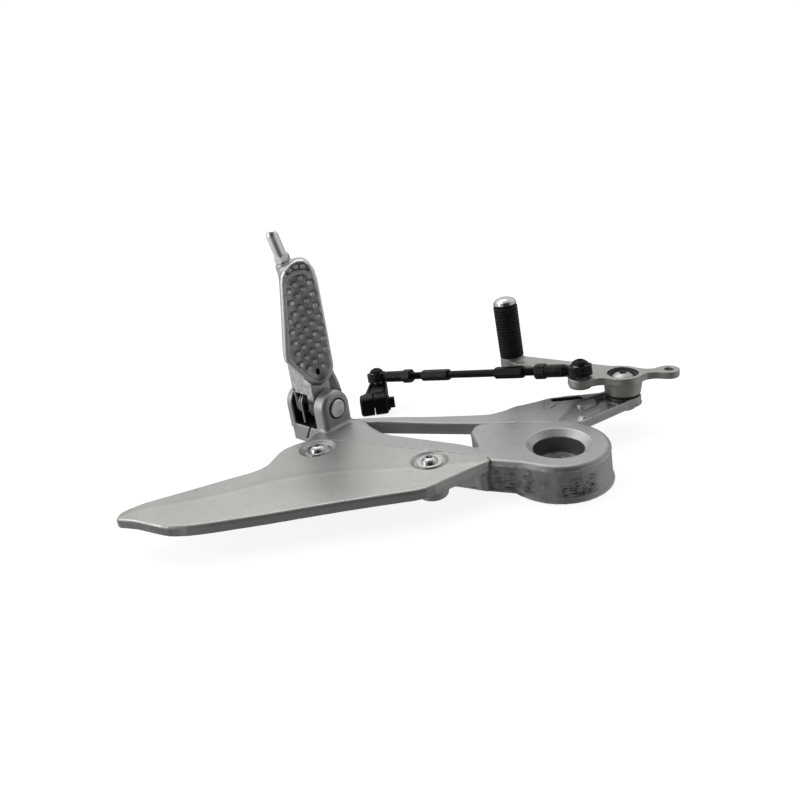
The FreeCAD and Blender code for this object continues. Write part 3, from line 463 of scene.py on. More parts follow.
def f_peg(P):
    x, y, z = P[:, 0], P[:, 1], P[:, 2]
    dx, dy = x + 153.0, y - 84.0
    t = dx * CB + dy * SB
    n = dx * SB - dy * CB
    out = poly(t, z, PEG_OUT)
    body = rmax(rmax(out, n - 8.0, 2.4), -8.0 - n, 4.5)
    # neck between the ears, tongue and sleeve round the pin, heel behind the right ear
    s, b = pin_frame(x, y)
    zz = z - 38.0
    nk = rmax(poly(s, z, NECK), np.abs(b - 1.5) - 8.5, 0.9)
    nk = np.maximum(nk, -np.maximum(poly(t, z, TREAD_FRONT), 6.5 - n))
    nk = np.maximum(nk, -np.maximum(np.maximum(np.abs(s - 33.5) - 1.5, 7.2 - b), z - 51.2))
    rp = np.hypot(b, zz)
    tg = rmax(rp - 10.5, np.abs(s - 15.75) - 3.75, 0.7)
    sl = rmax(rp - 5.8, np.maximum(18.5 - s, s - 26.0), 0.4)
    hl = rmax(poly(t, z, HEEL), np.abs(n + 4.5) - 3.5, 2.4)
    body = rmin(body, np.minimum(nk, tg), 1.2)
    body = rmin(np.minimum(body, sl), hl, 1.5)
    # tread trough and the small one at the tip
    tl = np.interp(z, TL_Z, TL_T)
    u = (2 * t - (tl + 13.2)) / np.maximum(13.2 - tl, 6.0)
    nf = 3.3 + 2.4 * smooth(0.1, 1.0, u) + 1.4 * smooth(-0.45, -1.0, u)
    trough = rmax(poly(t, z, PEG_IN), (nf - n) * 0.9, 0.9)
    body = rmax(body, -trough, 0.6)
    tip = rmax(poly(t, z, PEG_TIP), 4.6 - n, 0.6)
    body = rmax(body, -tip, 0.5)
    # staggered studs
    tt = t + 0.07 * (z - 100.0) - 0.6
    jf = np.floor(tt / COL).astype(int)
    stud = np.full(x.shape, 50.0)
    for dj in (0, 1):
        j = jf + dj
        zo = 96.0 + 4.0 * (j % 2)
        i = np.rint((z - zo) / PITCH).astype(int)
        ok = STUD_OK[np.clip(j + 7, 0, 14), np.clip(i + 15, 0, 30)] & (np.abs(j) <= 7) & (np.abs(i) <= 15)
        zc = zo + PITCH * i
        tc = COL * j - 0.07 * (zc - 100.0) + 0.6
        rd = np.hypot(t - tc, z - zc)
        st = rmax(rd - (2.25 - 0.22 * np.clip(n - nf, 0, 4)), n - np.minimum(nf + 3.4, 8.2), 0.4)
        stud = np.where(ok, np.minimum(stud, st), stud)
    stud = np.maximum(stud, nf - 1.0 - n)
    for tc, zc in ((-3.0, 138.2), (1.6, 140.0), (6.0, 139.6)):
        rd = np.hypot(t - tc, z - zc)
        stud = np.minimum(stud, np.maximum(rmax(rd - 1.5, n - 7.8, 0.4), 4.0 - n))
    body = rmin(body, stud, 0.3)
    # drain hole at the lower end of the tread
    hz = z - 63.8 - np.clip(z - 63.8, -1.1, 1.1)
    body = np.maximum(body, -np.maximum(np.hypot(t - 3.3, hz) - 1.25, 0.4 - n))
    # lug of the feeler
    q = P - FEEL_P
    h = q @ FEEL_D
    rf = np.sqrt(np.maximum((q * q).sum(1) - h * h, 0))
    lug = rmax(rf - (7.0 - 0.10 * np.clip(h - 4, 0, 8)), np.maximum(-h, h - 11.9), 1.5)
    body = rmin(body, lug, 1.6)
    body = np.maximum(body, -np.maximum(rf - 3.05, 2.0 - h))
    return np.maximum(body, np.where(z < 60.0, 4.06 - rp, -50.0))


# ------------------------------------------------------------------ shift lever
def link2(x, y, a, ra, b, rb):
    """Distance to a tapered bar with round ends."""
    ax, ay = b[0] - a[0], b[1] - a[1]
    l2 = ax * ax + ay * ay
    u = np.clip(((x - a[0]) * ax + (y - a[1]) * ay) / l2, 0, 1)
    return np.hypot(x - a[0] - ax * u, y - a[1] - ay * u) - (ra + (rb - ra) * u)


_td = np.array([-3.2, 1.0, 48.0])
TOE_D = _td / np.linalg.norm(_td)


def f_lever(P):
    x, y, z = P[:, 0], P[:, 1], P[:, 2]
    rh = np.hypot(x - PIVOT[0], y - PIVOT[1])
    rl = np.hypot(x - LUG[0], y - LUG[1])
    toe = link2(x, y, PIVOT, 9.7, TOE, 8.5)
    lug = rmin(link2(x, y, PIVOT, 7.6, LUG, 5.8), rl - 7.9, 5.0)
    tail = rmin(link2(x, y, PIVOT, 6.0, TAIL, 2.9), np.hypot(x - TAIL[0], y - TAIL[1]) - 6.9, 5.0)
    d2 = np.minimum(np.minimum(toe, rh - 13.1), np.minimum(lug, tail))
    d2 = np.where(d2 > -0.5, rmin(rmin(toe, rh - 13.1, 4.0), rmin(lug, tail, 1.0), 4.0), d2)
    plate = rmax(d2, np.maximum(34.4 - z, z - 40.0 + 0.5 * smooth(74, 82, x)), 0.8)
    hub = rmax(rh - (12.0 + 1.0 * np.clip((z - 25.5) / 8.5, 0, 1)), np.maximum(25.5 - z, z - 37.0), 0.8)
    lugb = rmax(rl - 7.9, np.maximum(32.6 - z, z - 38.0), 0.9)
    body = np.minimum(rmin(plate, hub, 0.8), lugb)
    cut = np.minimum(rh - 8.0, np.maximum(rh - 10.4, 36.5 - z))
    cut = np.minimum(cut, rl - 3.05)
    cut = np.minimum(cut, np.hypot(x - TAIL[0], y - TAIL[1]) - 3.1)
    q = P - np.array([TOE[0], TOE[1], 40.0])
    h = q @ TOE_D
    rt = np.sqrt(np.maximum((q * q).sum(1) - h * h, 0))
    body = rmin(body, rmax(rt - 8.9, np.maximum(-5.4 - h, h - 2.55), 0.7), 1.5)
    cut = np.minimum(cut, rt - 4.05)
    return rmax(body, -cut, 0.4)


# ------------------------------------------------------------------ shift arm
def f_arm(P):
    x, y, z = P[:, 0], P[:, 1], P[:, 2]
    cx, cy = CLAMP
    ey = cy - 10.2
    rc = np.hypot(x - cx, y - cy)
    rb = np.hypot(x - REAR[0], y - REAR[1])
    ring = rmax(rc - 11.0, np.maximum(-z, z - 12.0), 1.0)
    blk = rmax(np.maximum(y - 146.5, 130.95 - y), np.maximum(-z, z - 16.5), 5.2)
    blk = rmax(blk, np.abs(x - cx) - 11.4, 2.2)
    plate = rmax(link2(x, y, FOOT, 8.5, REAR, 7.7), np.maximum(4.0 - z, z - 15.4), 0.8)
    pad = rmax(rb - 6.6, np.maximum(4.0 - z, z - 15.8), 0.6)
    body = np.minimum(np.minimum(ring, blk), np.minimum(plate, pad))
    panel = rmax(link2(x, y, FOOT, 6.1, REAR, 5.2), 147.6 - y, 0.8)
    panel = np.maximum(np.maximum(panel, 14.2 - z), 7.2 - rb)
    body = rmax(body, -panel, 0.4)
    cut = np.minimum(np.maximum(rc - 5.5, z - 12.0), np.maximum(np.abs(x - cx) - 0.4, y - 144.0))
    cut = np.minimum(cut, np.maximum(np.hypot(y - ey, z - 8.25) - 3.05, np.abs(x - cx) - 14.0))
    cut = np.minimum(cut, rb - 3.05)
    return np.maximum(rmax(body, -cut, 0.4), 0.03 - z)


# ------------------------------------------------------------------ turned pieces
F_C = np.array([LUG[0], LUG[1], 45.0])
R_C = np.array([REAR[0], REAR[1], 21.0])
ROD_L = float(np.linalg.norm(R_C - F_C))
ROD_D = (R_C - F_C) / ROD_L
EYE = np.array([0, 0, 1.0]) - ROD_D * ROD_D[2]
EYE /= np.linalg.norm(EYE)
SIDE = np.cross(EYE, ROD_D)


def sweep(name, stations, radius, origin, ax, ux, vx, n):
    """Closed mesh along an axis with radius(station, angle)."""
    ang = np.arange(n) * 2 * math.pi / n
    rings = []
    for s in stations:
        r = radius(s, ang)
        rings.append(origin + ax * s + np.outer(r * np.cos(ang), ux) + np.outer(r * np.sin(ang), vx))
    v = np.concatenate(rings)
    faces = []
    m = len(stations)
    for i in range(m - 1):
        for j in range(n):
            k = (j + 1) % n
            faces.append((i * n + j, i * n + k, (i + 1) * n + k, (i + 1) * n + j))
    faces.append(tuple(range(n))[::-1])
    faces.append(tuple((m - 1) * n + j for j in range(n)))
    return new_object(name, v * MM, faces)


def hexr(ang, af, rot=math.pi / 6):
    a = (ang + rot) % (math.pi / 3) - math.pi / 6
    return af / 2 / np.cos(a)


def rod_radius(s, ang):
    if 42.5 <= s <= 66.0 or 107.0 <= s <= 133.0:
        a, b = (42.5, 66.0) if s < 80 else (107.0, 133.0)
        edge = min(s - a, b - s)
        return np.minimum(hexr(ang, 8.0), 3.75 + 0.9 * edge)
    if 66.0 < s < 107.0:
        return np.full(ang.shape, 2.9)
    ph = (s / 1.0 - ang / (2 * math.pi)) % 1.0
    tri = np.abs(2 * ph - 1.0)
    return 2.62 + 0.36 * np.clip(1.25 * tri - 0.1, 0, 1)


def build_rod():
    st = list(np.arange(12.0, 42.45, 0.2)) + [42.45, 42.5, 42.8, 43.1, 43.5, 45.0, 54.0, 63.5, 65.0, 65.4, 65.7, 66.0, 66.05]
    st += [67.0, 75.0, 86.5, 98.0, 106.0, 106.95, 107.0, 107.3, 107.6, 108.0, 110.0, 120.0, 130.0, 132.0, 132.4, 132.7, 133.0, 133.05]
    st += list(np.arange(133.2, ROD_L - 12.0, 0.2))
    obj = sweep("link_rod_visual", st, rod_radius, F_C, ROD_D, EYE, np.cross(ROD_D, EYE), 48)
    return obj


def feeler_radius(s, ang):
    """Threaded foot, hexagon, plain rod with a domed end."""
    if s < 12.0:
        return np.full(ang.shape, 2.6 + 0.35 * min(1.0, s - 2.5))
    if s <= 16.65:
        return np.minimum(hexr(ang, 9.8), 5.0 + 1.1 * min(s - 12.05, 16.65 - s + 0.02))
    if s < 30.0:
        return np.full(ang.shape, 4.1)
    return np.full(ang.shape, max(0.02, 4.1 * math.sqrt(max(0.0, 1.0 - ((s - 30.0) / 4.4) ** 2))))


def build_feeler():
    st = [2.5, 3.5, 8.0, 11.95, 12.05, 12.3, 12.6, 13.0, 14.3, 15.7, 16.1, 16.4, 16.65, 16.7, 17.2, 20.0, 24.0, 28.0, 30.0]
    st += [30.0 + 4.4 * math.sin(a) for a in np.linspace(0.1, math.pi / 2, 12)]
    ux = np.cross(np.array([0.0, 1.0, 0.0]), FEEL_D)
    ux /= np.linalg.norm(ux)
    return sweep("bank_feeler_visual", st, feeler_radius, FEEL_P, FEEL_D, ux, np.cross(FEEL_D, ux), 48)


def tube(name, path, r, n=12):
    path = np.asarray(path, float)
    tan = np.gradient(path, axis=0)
    tan /= np.linalg.norm(tan, axis=1)[:, None]
    up = np.array([0.3, 0.2, 1.0])
    verts = []
    u = np.cross(tan[0], up)
    u /= np.linalg.norm(u)
    for p, t in zip(path, tan):
        u = u - t * (u @ t)
        u /= np.linalg.norm(u)
        w = np.cross(t, u)
        a = np.arange(n) * 2 * math.pi / n
        verts.append(p + r * (np.outer(np.cos(a), u) + np.outer(np.sin(a), w)))
    m = len(path)
    faces = []
    for i in range(m - 1):
        for j in range(n):
            k = (j + 1) % n
            faces.append((i * n + j, i * n + k, (i + 1) * n + k, (i + 1) * n + j))
    faces.append(tuple(range(n))[::-1])
    faces.append(tuple((m - 1) * n + j for j in range(n)))
    return new_object(name, np.concatenate(verts) * MM, faces)


def build_spring():
    """Torsion spring round the pin: lower leg, two turns, upper leg."""
    ax = np.array([-Q, Q, 0.0])
    bx = np.array([-Q, -Q, 0.0])
    zx = np.array([0, 0, 1.0])
    o = np.array([PIN[0], PIN[1], 38.0])
    R, pitch, turns, s0 = 8.8, 2.4, 2, 28.7
    pts = []
    for k in range(14):
        pts.append(o + ax * s0 + bx * R - zx * (13.0 - k))
    for k in range(1, 48 * turns):
        a = 2 * math.pi * k / 48
        pts.append(o + ax * (s0 + pitch * a / (2 * math.pi)) + bx * R * math.cos(a) + zx * R * math.sin(a))
    for k in range(13):
        pts.append(o + ax * (s0 + pitch * turns) + bx * R + zx * k * 1.03)
    return tube("return_spring_visual", pts, 1.1)


# ------------------------------------------------------------------ materials
class Nodes:
    def __init__(self, name):
        self.mat = bpy.data.materials.new(name)
        self.mat.use_nodes = True
        self.nt = self.mat.node_tree
        self.nt.nodes.clear()
        self.out = self.nt.nodes.new("ShaderNodeOutputMaterial")
        self.bsdf = self.nt.nodes.new("ShaderNodeBsdfPrincipled")
        self.nt.links.new(self.bsdf.outputs[0], self.out.inputs[0])
        self.co = self.nt.nodes.new("ShaderNodeTexCoord").outputs["Object"]

    def put(self, socket, value):
        if hasattr(value, "is_output"):
            self.nt.links.new(value, socket)
        else:
            socket.default_value = value

    def mapped(self, scale, loc=(0, 0, 0), rot=(0, 0, 0)):
        n = self.nt.nodes.new("ShaderNodeMapping")
        self.put(n.inputs["Vector"], self.co)
        n.inputs["Scale"].default_value = scale
        n.inputs["Location"].default_value = loc
        n.inputs["Rotation"].default_value = rot
        return n.outputs[0]

    def noise(self, scale, detail=3.0, rough=0.55, vec=None, distort=0.0):
        n = self.nt.nodes.new("ShaderNodeTexNoise")
        self.put(n.inputs["Vector"], self.co if vec is None else vec)
        n.inputs["Scale"].default_value = scale
        n.inputs["Detail"].default_value = detail
        n.inputs["Roughness"].default_value = rough
        n.inputs["Distortion"].default_value = distort
        return n.outputs["Fac"]

    def voronoi(self, scale, vec=None, feature="F1"):
        n = self.nt.nodes.new("ShaderNodeTexVoronoi")
        n.feature = feature
        self.put(n.inputs["Vector"], self.co if vec is None else vec)
        n.inputs["Scale"].default_value = scale
        return n.outputs["Distance"]

    def span(self, value, a, b, c=0.0, d=1.0, soft=True):
        n = self.nt.nodes.new("ShaderNodeMapRange")
        n.interpolation_type = "SMOOTHSTEP" if soft else "LINEAR"
        n.clamp = True
        self.put(n.inputs["Value"], value)
        for k, v in (("From Min", a), ("From Max", b), ("To Min", c), ("To Max", d)):
            n.inputs[k].default_value = v
        return n.outputs["Result"]

    def math(self, op, a, b=0.0, c=0.0):
        n = self.nt.nodes.new("ShaderNodeMath")
        n.operation = op
        self.put(n.inputs[0], a)
        self.put(n.inputs[1], b)
        if len(n.inputs) > 2:
            self.put(n.inputs[2], c)
        return n.outputs[0]

    def mul(self, *vs):
        r = vs[0]
        for v in vs[1:]:
            r = self.math("MULTIPLY", r, v)
        return r

    def mix(self, fac, a, b):
        n = self.nt.nodes.new("ShaderNodeMix")
        n.data_type = "RGBA"
        self.put(n.inputs[0], fac)
        self.put(n.inputs[6], a if hasattr(a, "is_output") else (*a, 1.0))
        self.put(n.inputs[7], b if hasattr(b, "is_output") else (*b, 1.0))
        return n.outputs[2]

    def axis(self, v):
        """Coordinate along a direction, in metres."""
        n = self.nt.nodes.new("ShaderNodeVectorMath")
        n.operation = "DOT_PRODUCT"
        self.put(n.inputs[0], self.co)
        n.inputs[1].default_value = v
        return n.outputs["Value"]

    def point(self):
        return self.nt.nodes.new("ShaderNodeNewGeometry").outputs["Pointiness"]

    def normal(self):
        return self.nt.nodes.new("ShaderNodeNewGeometry").outputs["Normal"]

    def bump(self, height, distance, strength=1.0, normal=None):
        n = self.nt.nodes.new("ShaderNodeBump")
        n.inputs["Strength"].default_value = strength
        n.inputs["Distance"].default_value = distance
        self.put(n.inputs["Height"], height)
        if normal is not None:
            self.put(n.inputs["Normal"], normal)
        return n.outputs[0]

    def done(self, color, rough, normal=None, metallic=0.0, **sockets):
        self.put(self.bsdf.inputs["Base Color"], color)
        self.put(self.bsdf.inputs["Roughness"], rough)
        self.put(self.bsdf.inputs["Metallic"], metallic)
        if normal is not None:
            self.put(self.bsdf.inputs["Normal"], normal)
        for k, v in sockets.items():
            self.bsdf.inputs[k.replace("_", " ")].default_value = v
        return self.mat


def tone(c, k):
    return tuple(min(1.0, v * k) for v in c)


def silver(name, base, rough=(0.36, 0.5), grain=3200.0, grain_h=0.00002, metallic=0.8, wear=0.5, extra=None):
    """Blasted, clear coated alloy with cloudy tone, fine grain, rubbed edges and painted shade in creases and hollows.
    """
    m = Nodes(name)
    cloud = m.noise(28.0, 4.0, 0.6)
    mid = m.noise(240.0, 4.0, 0.6)
    fine = m.noise(grain, 2.0, 0.5)
    col = m.mix(m.span(cloud, 0.3, 0.7), tone(base, 0.93), tone(base, 1.05))
    col = m.mix(m.span(mid, 0.42, 0.72, 0.0, 0.35), col, tone(base, 0.86))
    col = m.mix(m.span(fine, 0.5, 0.8, 0.0, 0.3), col, tone(base, 1.18))
    spots = m.span(m.voronoi(330.0), 0.0, 0.045, 1.0, 0.0)
    spots = m.mul(spots, m.span(m.noise(60.0, 2.0), 0.56, 0.66))
    col = m.mix(m.mul(spots, 0.6), col, tone(base, 0.35))
    edge = m.span(m.point(), 0.515, 0.56)
    chip = m.mul(edge, m.span(m.noise(420.0, 4.0, 0.7), 0.42, 0.62))
    col = m.mix(m.mul(chip, wear), col, (0.86, 0.86, 0.84))
    # painted shade: darker in creases and hollows, found by pointiness
    crease_shade = m.span(m.point(), 0.485, 0.44)
    col = m.mix(m.mul(crease_shade, 0.5), col, tone(base, 0.42))
    ro = m.span(m.math("ADD", m.mul(cloud, 0.5), m.mul(mid, 0.5)), 0.35, 0.65, rough[0], rough[1], False)
    if extra:
        col, ro = extra(m, col, ro)
    h = m.math("ADD", fine, m.mul(mid, 0.8))
    return m.done(col, ro, m.bump(h, grain_h), metallic=metallic)


def hanger_marks(m, col, ro):
    """Machined bore, black rubbed-off scuffs on the near walls, chipped strut edge, with painted shade in the bore, on
    the near walls, under the lever hub, in the slot, inside the clevis and round the pin head, and painted light on
    the pocket floor.
    """
    X, Y, Z = m.axis((1, 0, 0)), m.axis((0, 1, 0)), m.axis((0, 0, 1))
    r = m.math("SQRT", m.math("ADD", m.mul(X, X), m.mul(Y, Y)))
    bore = m.mul(m.span(r, 0.0199, 0.0203, 1.0, 0.0), m.span(Z, 0.0185, 0.0195))
    turn = m.math("SINE", m.mul(r, 9000.0))
    col = m.mix(m.mul(bore, 0.55), col, m.mix(m.span(turn, -1, 1), (0.58, 0.58, 0.58), (0.72, 0.72, 0.71)))
    # painted shade deep inside the bore
    painted_recess_tone = m.mul(m.span(r, 0.0157, 0.0160, 1.0, 0.0), m.span(Z, 0.0200, 0.0192))
    col = m.mix(m.mul(painted_recess_tone, 0.72), col, (0.10, 0.10, 0.10))
    ring = m.mul(m.span(r, 0.0085, 0.0095), m.span(r, 0.0122, 0.0126, 1.0, 0.0), m.span(Z, 0.0115, 0.0108))
    col = m.mix(m.mul(ring, 0.6), col, (0.5, 0.5, 0.5))
    # scuffs, in fine black strokes along the walls
    streak = m.noise(1.0, 7.0, 0.74, m.mapped((230.0, 230.0, 1700.0), rot=(0.0, 0.1, 0.0)))
    blot = m.noise(190.0, 5.0, 0.68)
    wall = m.span(Z, 0.0032, 0.0048)
    a = m.mul(m.span(X, -0.012, -0.006), m.span(X, 0.011, 0.017, 1.0, 0.0), m.span(Y, -0.020, -0.026), m.span(Z, 0.0190, 0.0140))
    b = m.mul(m.span(X, -0.049, -0.042), m.span(X, -0.025, -0.020, 1.0, 0.0), m.span(Y, -0.004, -0.010), m.span(Z, 0.0212, 0.0175))
    zone = m.math("MAXIMUM", a, b)
    low = m.span(Z, 0.017, 0.004, 0.0, 0.04)
    mark = m.math("ADD", m.math("ADD", m.mul(streak, 0.72), m.mul(blot, 0.28)), low)
    scuff = m.mul(m.span(mark, 0.52, 0.57), zone, wall)
    col = m.mix(m.mul(scuff, 0.93), col, (0.010, 0.010, 0.011))
    # painted shade on the near walls of the platform and boss, in mottled patches
    side = m.mul(m.span(X, -0.056, -0.050), m.span(X, -0.016, -0.010, 1.0, 0.0), m.span(Y, -0.004, -0.009), m.span(Z, 0.0208, 0.0196))
    near_wall_shade = m.math("MAXIMUM", m.mul(zone, m.span(blot, 0.35, 0.65), 0.2), m.mul(side, m.span(blot, 0.3, 0.68, 0.35, 0.7)))
    col = m.mix(near_wall_shade, col, (0.10, 0.10, 0.10))
    ro = m.math("ADD", ro, m.mul(scuff, 0.2))
    # light chips along the rounded near edge of the platform
    rim = m.mul(m.span(Z, 0.0196, 0.0204), m.span(Z, 0.0222, 0.0212), m.span(Y, -0.006, -0.012), m.span(X, -0.058, -0.052))
    chip = m.mul(rim, m.span(m.noise(1.0, 4.0, 0.7, m.mapped((260.0, 260.0, 900.0))), 0.48, 0.6))
    col = m.mix(m.mul(chip, 0.6), col, (0.80, 0.80, 0.78))
    # painted light on the floor of the arm's pocket, lighter there; painted shade under the lever hub, in the slot,
    # inside the clevis and round the pin head
    near = m.math("SUBTRACT", m.axis((-0.469, 0.883, 0)), -0.469 * 0.0183 + 0.883 * 0.0212)
    farside = m.math("SUBTRACT", Y, m.mul(X, 0.31))
    pocket_painted_light = m.mul(m.span(near, 0.0014, 0.0019), m.span(farside, 0.0480, 0.0472), m.span(X, 0.010, 0.013), m.span(Z, 0.0230, 0.0218), m.span(Z, 0.0190, 0.0196))
    col = m.mix(m.mul(pocket_painted_light, m.span(blot, 0.25, 0.6, 0.55, 0.8)), col, (0.50, 0.505, 0.50))
    # painted shade on the hanger under the lever hub
    hx, hy = m.math("SUBTRACT", X, 0.0624), m.math("SUBTRACT", Y, 0.0583)
    hub = m.math("SQRT", m.math("ADD", m.mul(hx, hx), m.mul(hy, hy)))
    col = m.mix(m.mul(m.span(hub, 0.0119, 0.0117), m.span(Z, 0.0195, 0.0200), 0.9), col, (0.04, 0.04, 0.04))
    # painted shade: the slot is painted near black
    sy_ = m.math("ABSOLUTE", m.math("SUBTRACT", m.math("ADD", Y, m.mul(X, 0.102)), 0.0652))
    slot = m.mul(m.span(X, 0.0122, 0.0128), m.span(X, 0.0358, 0.0352), m.span(sy_, 0.0033, 0.0030), m.span(Z, 0.0238, 0.0232))
    col = m.mix(m.mul(slot, 0.95), col, (0.006, 0.006, 0.006))
    # painted shade inside the clevis, in mottled patches
    ps = m.math("SUBTRACT", m.axis((-Q, Q, 0)), (0.1389 + 0.0699) * Q)
    pb_ = m.math("SUBTRACT", m.axis((-Q, -Q, 0)), (0.1389 - 0.0699) * Q)
    clevis_shade = m.mul(m.span(ps, 0.0108, 0.0114), m.span(ps, 0.0366, 0.0360), m.span(pb_, 0.0126, 0.0112), m.span(pb_, -0.0122, -0.0114), m.span(Z, 0.0226, 0.0236), m.span(Z, 0.0500, 0.0430))
    col = m.mix(m.mul(clevis_shade, m.span(blot, 0.25, 0.65, 0.86, 0.97)), col, (0.012, 0.012, 0.012))
    # painted shade in the gap round the pin head
    pz = m.math("SUBTRACT", Z, 0.038)
    pr = m.math("SQRT", m.math("ADD", m.mul(pb_, pb_), m.mul(pz, pz)))
    ring = m.mul(m.span(pr, 0.0079, 0.0075), m.span(ps, 0.0046, 0.0040))
    col = m.mix(m.mul(ring, 0.95), col, (0.008, 0.008, 0.008))
    ro = m.math("ADD", ro, m.mul(m.math("MAXIMUM", clevis_shade, slot), 0.3))
    return col, ro


def guard_marks(m, col, ro):
    X, Y = m.axis((1, 0, 0)), m.axis((0, 1, 0))
    dx = m.math("SUBTRACT", X, -0.2278)
    dy = m.math("SUBTRACT", Y, 0.0028)
    d = m.math("SQRT", m.math("ADD", m.mul(dx, dx), m.mul(dy, dy)))
    col = m.mix(m.span(d, 0.0004, 0.0008, 1.0, 0.0), col, (0.02, 0.02, 0.02))
    # painted shade on the down-facing lip near the guard's tip, mottled
    up = m.nt.nodes.new("ShaderNodeSeparateXYZ")
    m.put(up.inputs[0], m.normal())
    lip = m.mul(m.span(up.outputs[2], 0.55, 0.15), m.span(X, -0.226, -0.236), m.span(Y, 0.0, -0.008))
    col = m.mix(m.mul(lip, m.span(m.noise(200.0, 3.0), 0.2, 0.7, 0.5, 0.7)), col, (0.09, 0.09, 0.088))
    rub = m.noise(1.0, 5.0, 0.7, m.mapped((40.0, 420.0, 200.0), rot=(0, 0, 0.35)))
    col = m.mix(m.span(rub, 0.62, 0.74, 0.0, 0.16), col, (0.72, 0.72, 0.70))
    return col, ro


def peg_marks(m, col, ro):
    """Painted light on the floor of the tread with dark dirt stains over it, painted highlight on rims and stud tops,
    painted shade in the drain hole and low inside the clevis.
    """
    n = m.math("SUBTRACT", m.axis((SB, -CB, 0)), (-0.153 * SB - 0.084 * CB))
    z = m.axis((0, 0, 1))
    # painted light: the floor of the tread trough is painted lighter; the dark stains over it are dirt
    painted_recess_tone = m.mul(m.span(n, 0.0068, 0.0046), m.span(n, 0.0015, 0.0028), m.span(z, 0.056, 0.059))
    stain = m.noise(120.0, 5.0, 0.65)
    col = m.mix(m.mul(painted_recess_tone, m.span(stain, 0.25, 0.65, 0.0, 0.3)), m.mix(painted_recess_tone, col, (0.62, 0.62, 0.61)), (0.25, 0.25, 0.25))
    wear_and_highlight = m.mul(m.span(n, 0.0052, 0.0066), m.span(z, 0.056, 0.060))
    t = m.math("SUBTRACT", m.axis((CB, SB, 0)), (-0.153 * CB + 0.084 * SB))
    # painted shade: the drain hole is painted near black
    drain_hole_shade = m.mul(m.span(n, 0.0032, 0.0028), m.span(n, -0.0002, 0.0002), m.span(t, 0.0016, 0.0019), m.span(t, 0.0050, 0.0047), m.span(z, 0.0608, 0.0612), m.span(z, 0.0668, 0.0664))
    col = m.mix(m.mul(drain_hole_shade, m.span(stain, 0.2, 0.7, 0.9, 1.0)), col, (0.006, 0.006, 0.006))
    # painted highlight: rims and stud tops painted lighter
    col = m.mix(m.mul(wear_and_highlight, m.span(stain, 0.2, 0.6, 0.45, 0.75)), col, (0.84, 0.84, 0.83))
    # painted shade on the peg low inside the clevis, mottled
    peg_clevis_shade = m.span(z, 0.0480, 0.0435)
    col = m.mix(m.mul(peg_clevis_shade, m.span(stain, 0.25, 0.6, 0.75, 0.92)), col, (0.02, 0.02, 0.02))
    ro = m.math("ADD", ro, m.mul(m.math("MAXIMUM", painted_recess_tone, peg_clevis_shade), 0.14))
    return col, ro


def plated(name, base, rough=(0.2, 0.34), metallic=1.0, stain=(0.35, 0.35, 0.36), scratch=0.3):
    """Turned and plated steel."""
    m = Nodes(name)
    cloud = m.noise(160.0, 4.0, 0.6)
    fine = m.noise(2600.0, 3.0, 0.6)
    lines = m.noise(1.0, 3.0, 0.6, m.mapped((300.0, 300.0, 5200.0)))
    col = m.mix(m.span(cloud, 0.3, 0.72), tone(base, 0.88), tone(base, 1.08))
    col = m.mix(m.span(fine, 0.52, 0.75, 0.0, 0.3), col, stain)
    # painted shade: darker in creases and hollows, found by pointiness
    col = m.mix(m.mul(m.span(m.point(), 0.49, 0.45), 0.5), col, tone(base, 0.3))
    ro = m.span(cloud, 0.3, 0.7, rough[0], rough[1], False)
    return m.done(col, ro, m.bump(m.math("ADD", m.mul(fine, 0.4), m.mul(lines, scratch)), 0.000015), metallic=metallic)


def black(name, base=(0.0035, 0.0035, 0.0038), rough=(0.3, 0.44), wear_and_highlight=(0.05, 0.05, 0.052), spec=0.14, extra=None):
    """Black coated steel, rubbed a little on its corners."""
    m = Nodes(name)
    cloud = m.noise(110.0, 4.0, 0.6)
    fine = m.noise(2400.0, 3.0, 0.6)
    col = m.mix(m.span(cloud, 0.3, 0.7), tone(base, 0.7), tone(base, 1.6))
    rub = m.mul(m.span(m.point(), 0.52, 0.62), m.span(m.noise(500.0, 3.0, 0.7), 0.4, 0.65))
    col = m.mix(m.mul(rub, 0.7), col, wear_and_highlight)
    dust = m.mul(m.span(m.noise(700.0, 4.0, 0.7), 0.56, 0.75), 0.12)
    col = m.mix(dust, col, (0.03, 0.03, 0.03))
    ro = m.span(cloud, 0.3, 0.7, rough[0], rough[1], False)
    if extra:
        col, ro = extra(m, col, ro)
    return m.done(col, ro, m.bump(m.math("ADD", fine, m.mul(cloud, 1.5)), 0.00002), metallic=0.0, Specular_IOR_Level=spec)


def arm_marks(m, col, ro):
    """Bare matte panel between the ribs of the shift arm."""
    Y, Z = m.axis((0, 1, 0)), m.axis((0, 0, 1))
    panel = m.mul(m.span(Z, 0.0148, 0.0145), m.span(Z, 0.0138, 0.0141), m.span(Y, 0.1470, 0.1474))
    col = m.mix(m.mul(panel, m.span(m.noise(300.0, 4.0, 0.6), 0.2, 0.7, 0.7, 1.0)), col, (0.055, 0.055, 0.055))
    return col, m.math("ADD", ro, m.mul(panel, 0.35))


def rubber(name):
    m = Nodes(name)
    cloud = m.noise(130.0, 4.0, 0.6)
    fine = m.noise(3000.0, 3.0, 0.6)
    col = m.mix(m.span(cloud, 0.3, 0.7), (0.005, 0.005, 0.0055), (0.011, 0.011, 0.011))
    dust = m.mul(m.span(m.point(), 0.50, 0.56), m.span(m.noise(420.0, 4.0, 0.7), 0.45, 0.7))
    col = m.mix(m.mul(dust, 0.5), col, (0.05, 0.05, 0.05))
    ro = m.span(cloud, 0.3, 0.7, 0.5, 0.68, False)
    return m.done(col, ro, m.bump(fine, 0.00003), metallic=0.0, Specular_IOR_Level=0.3)


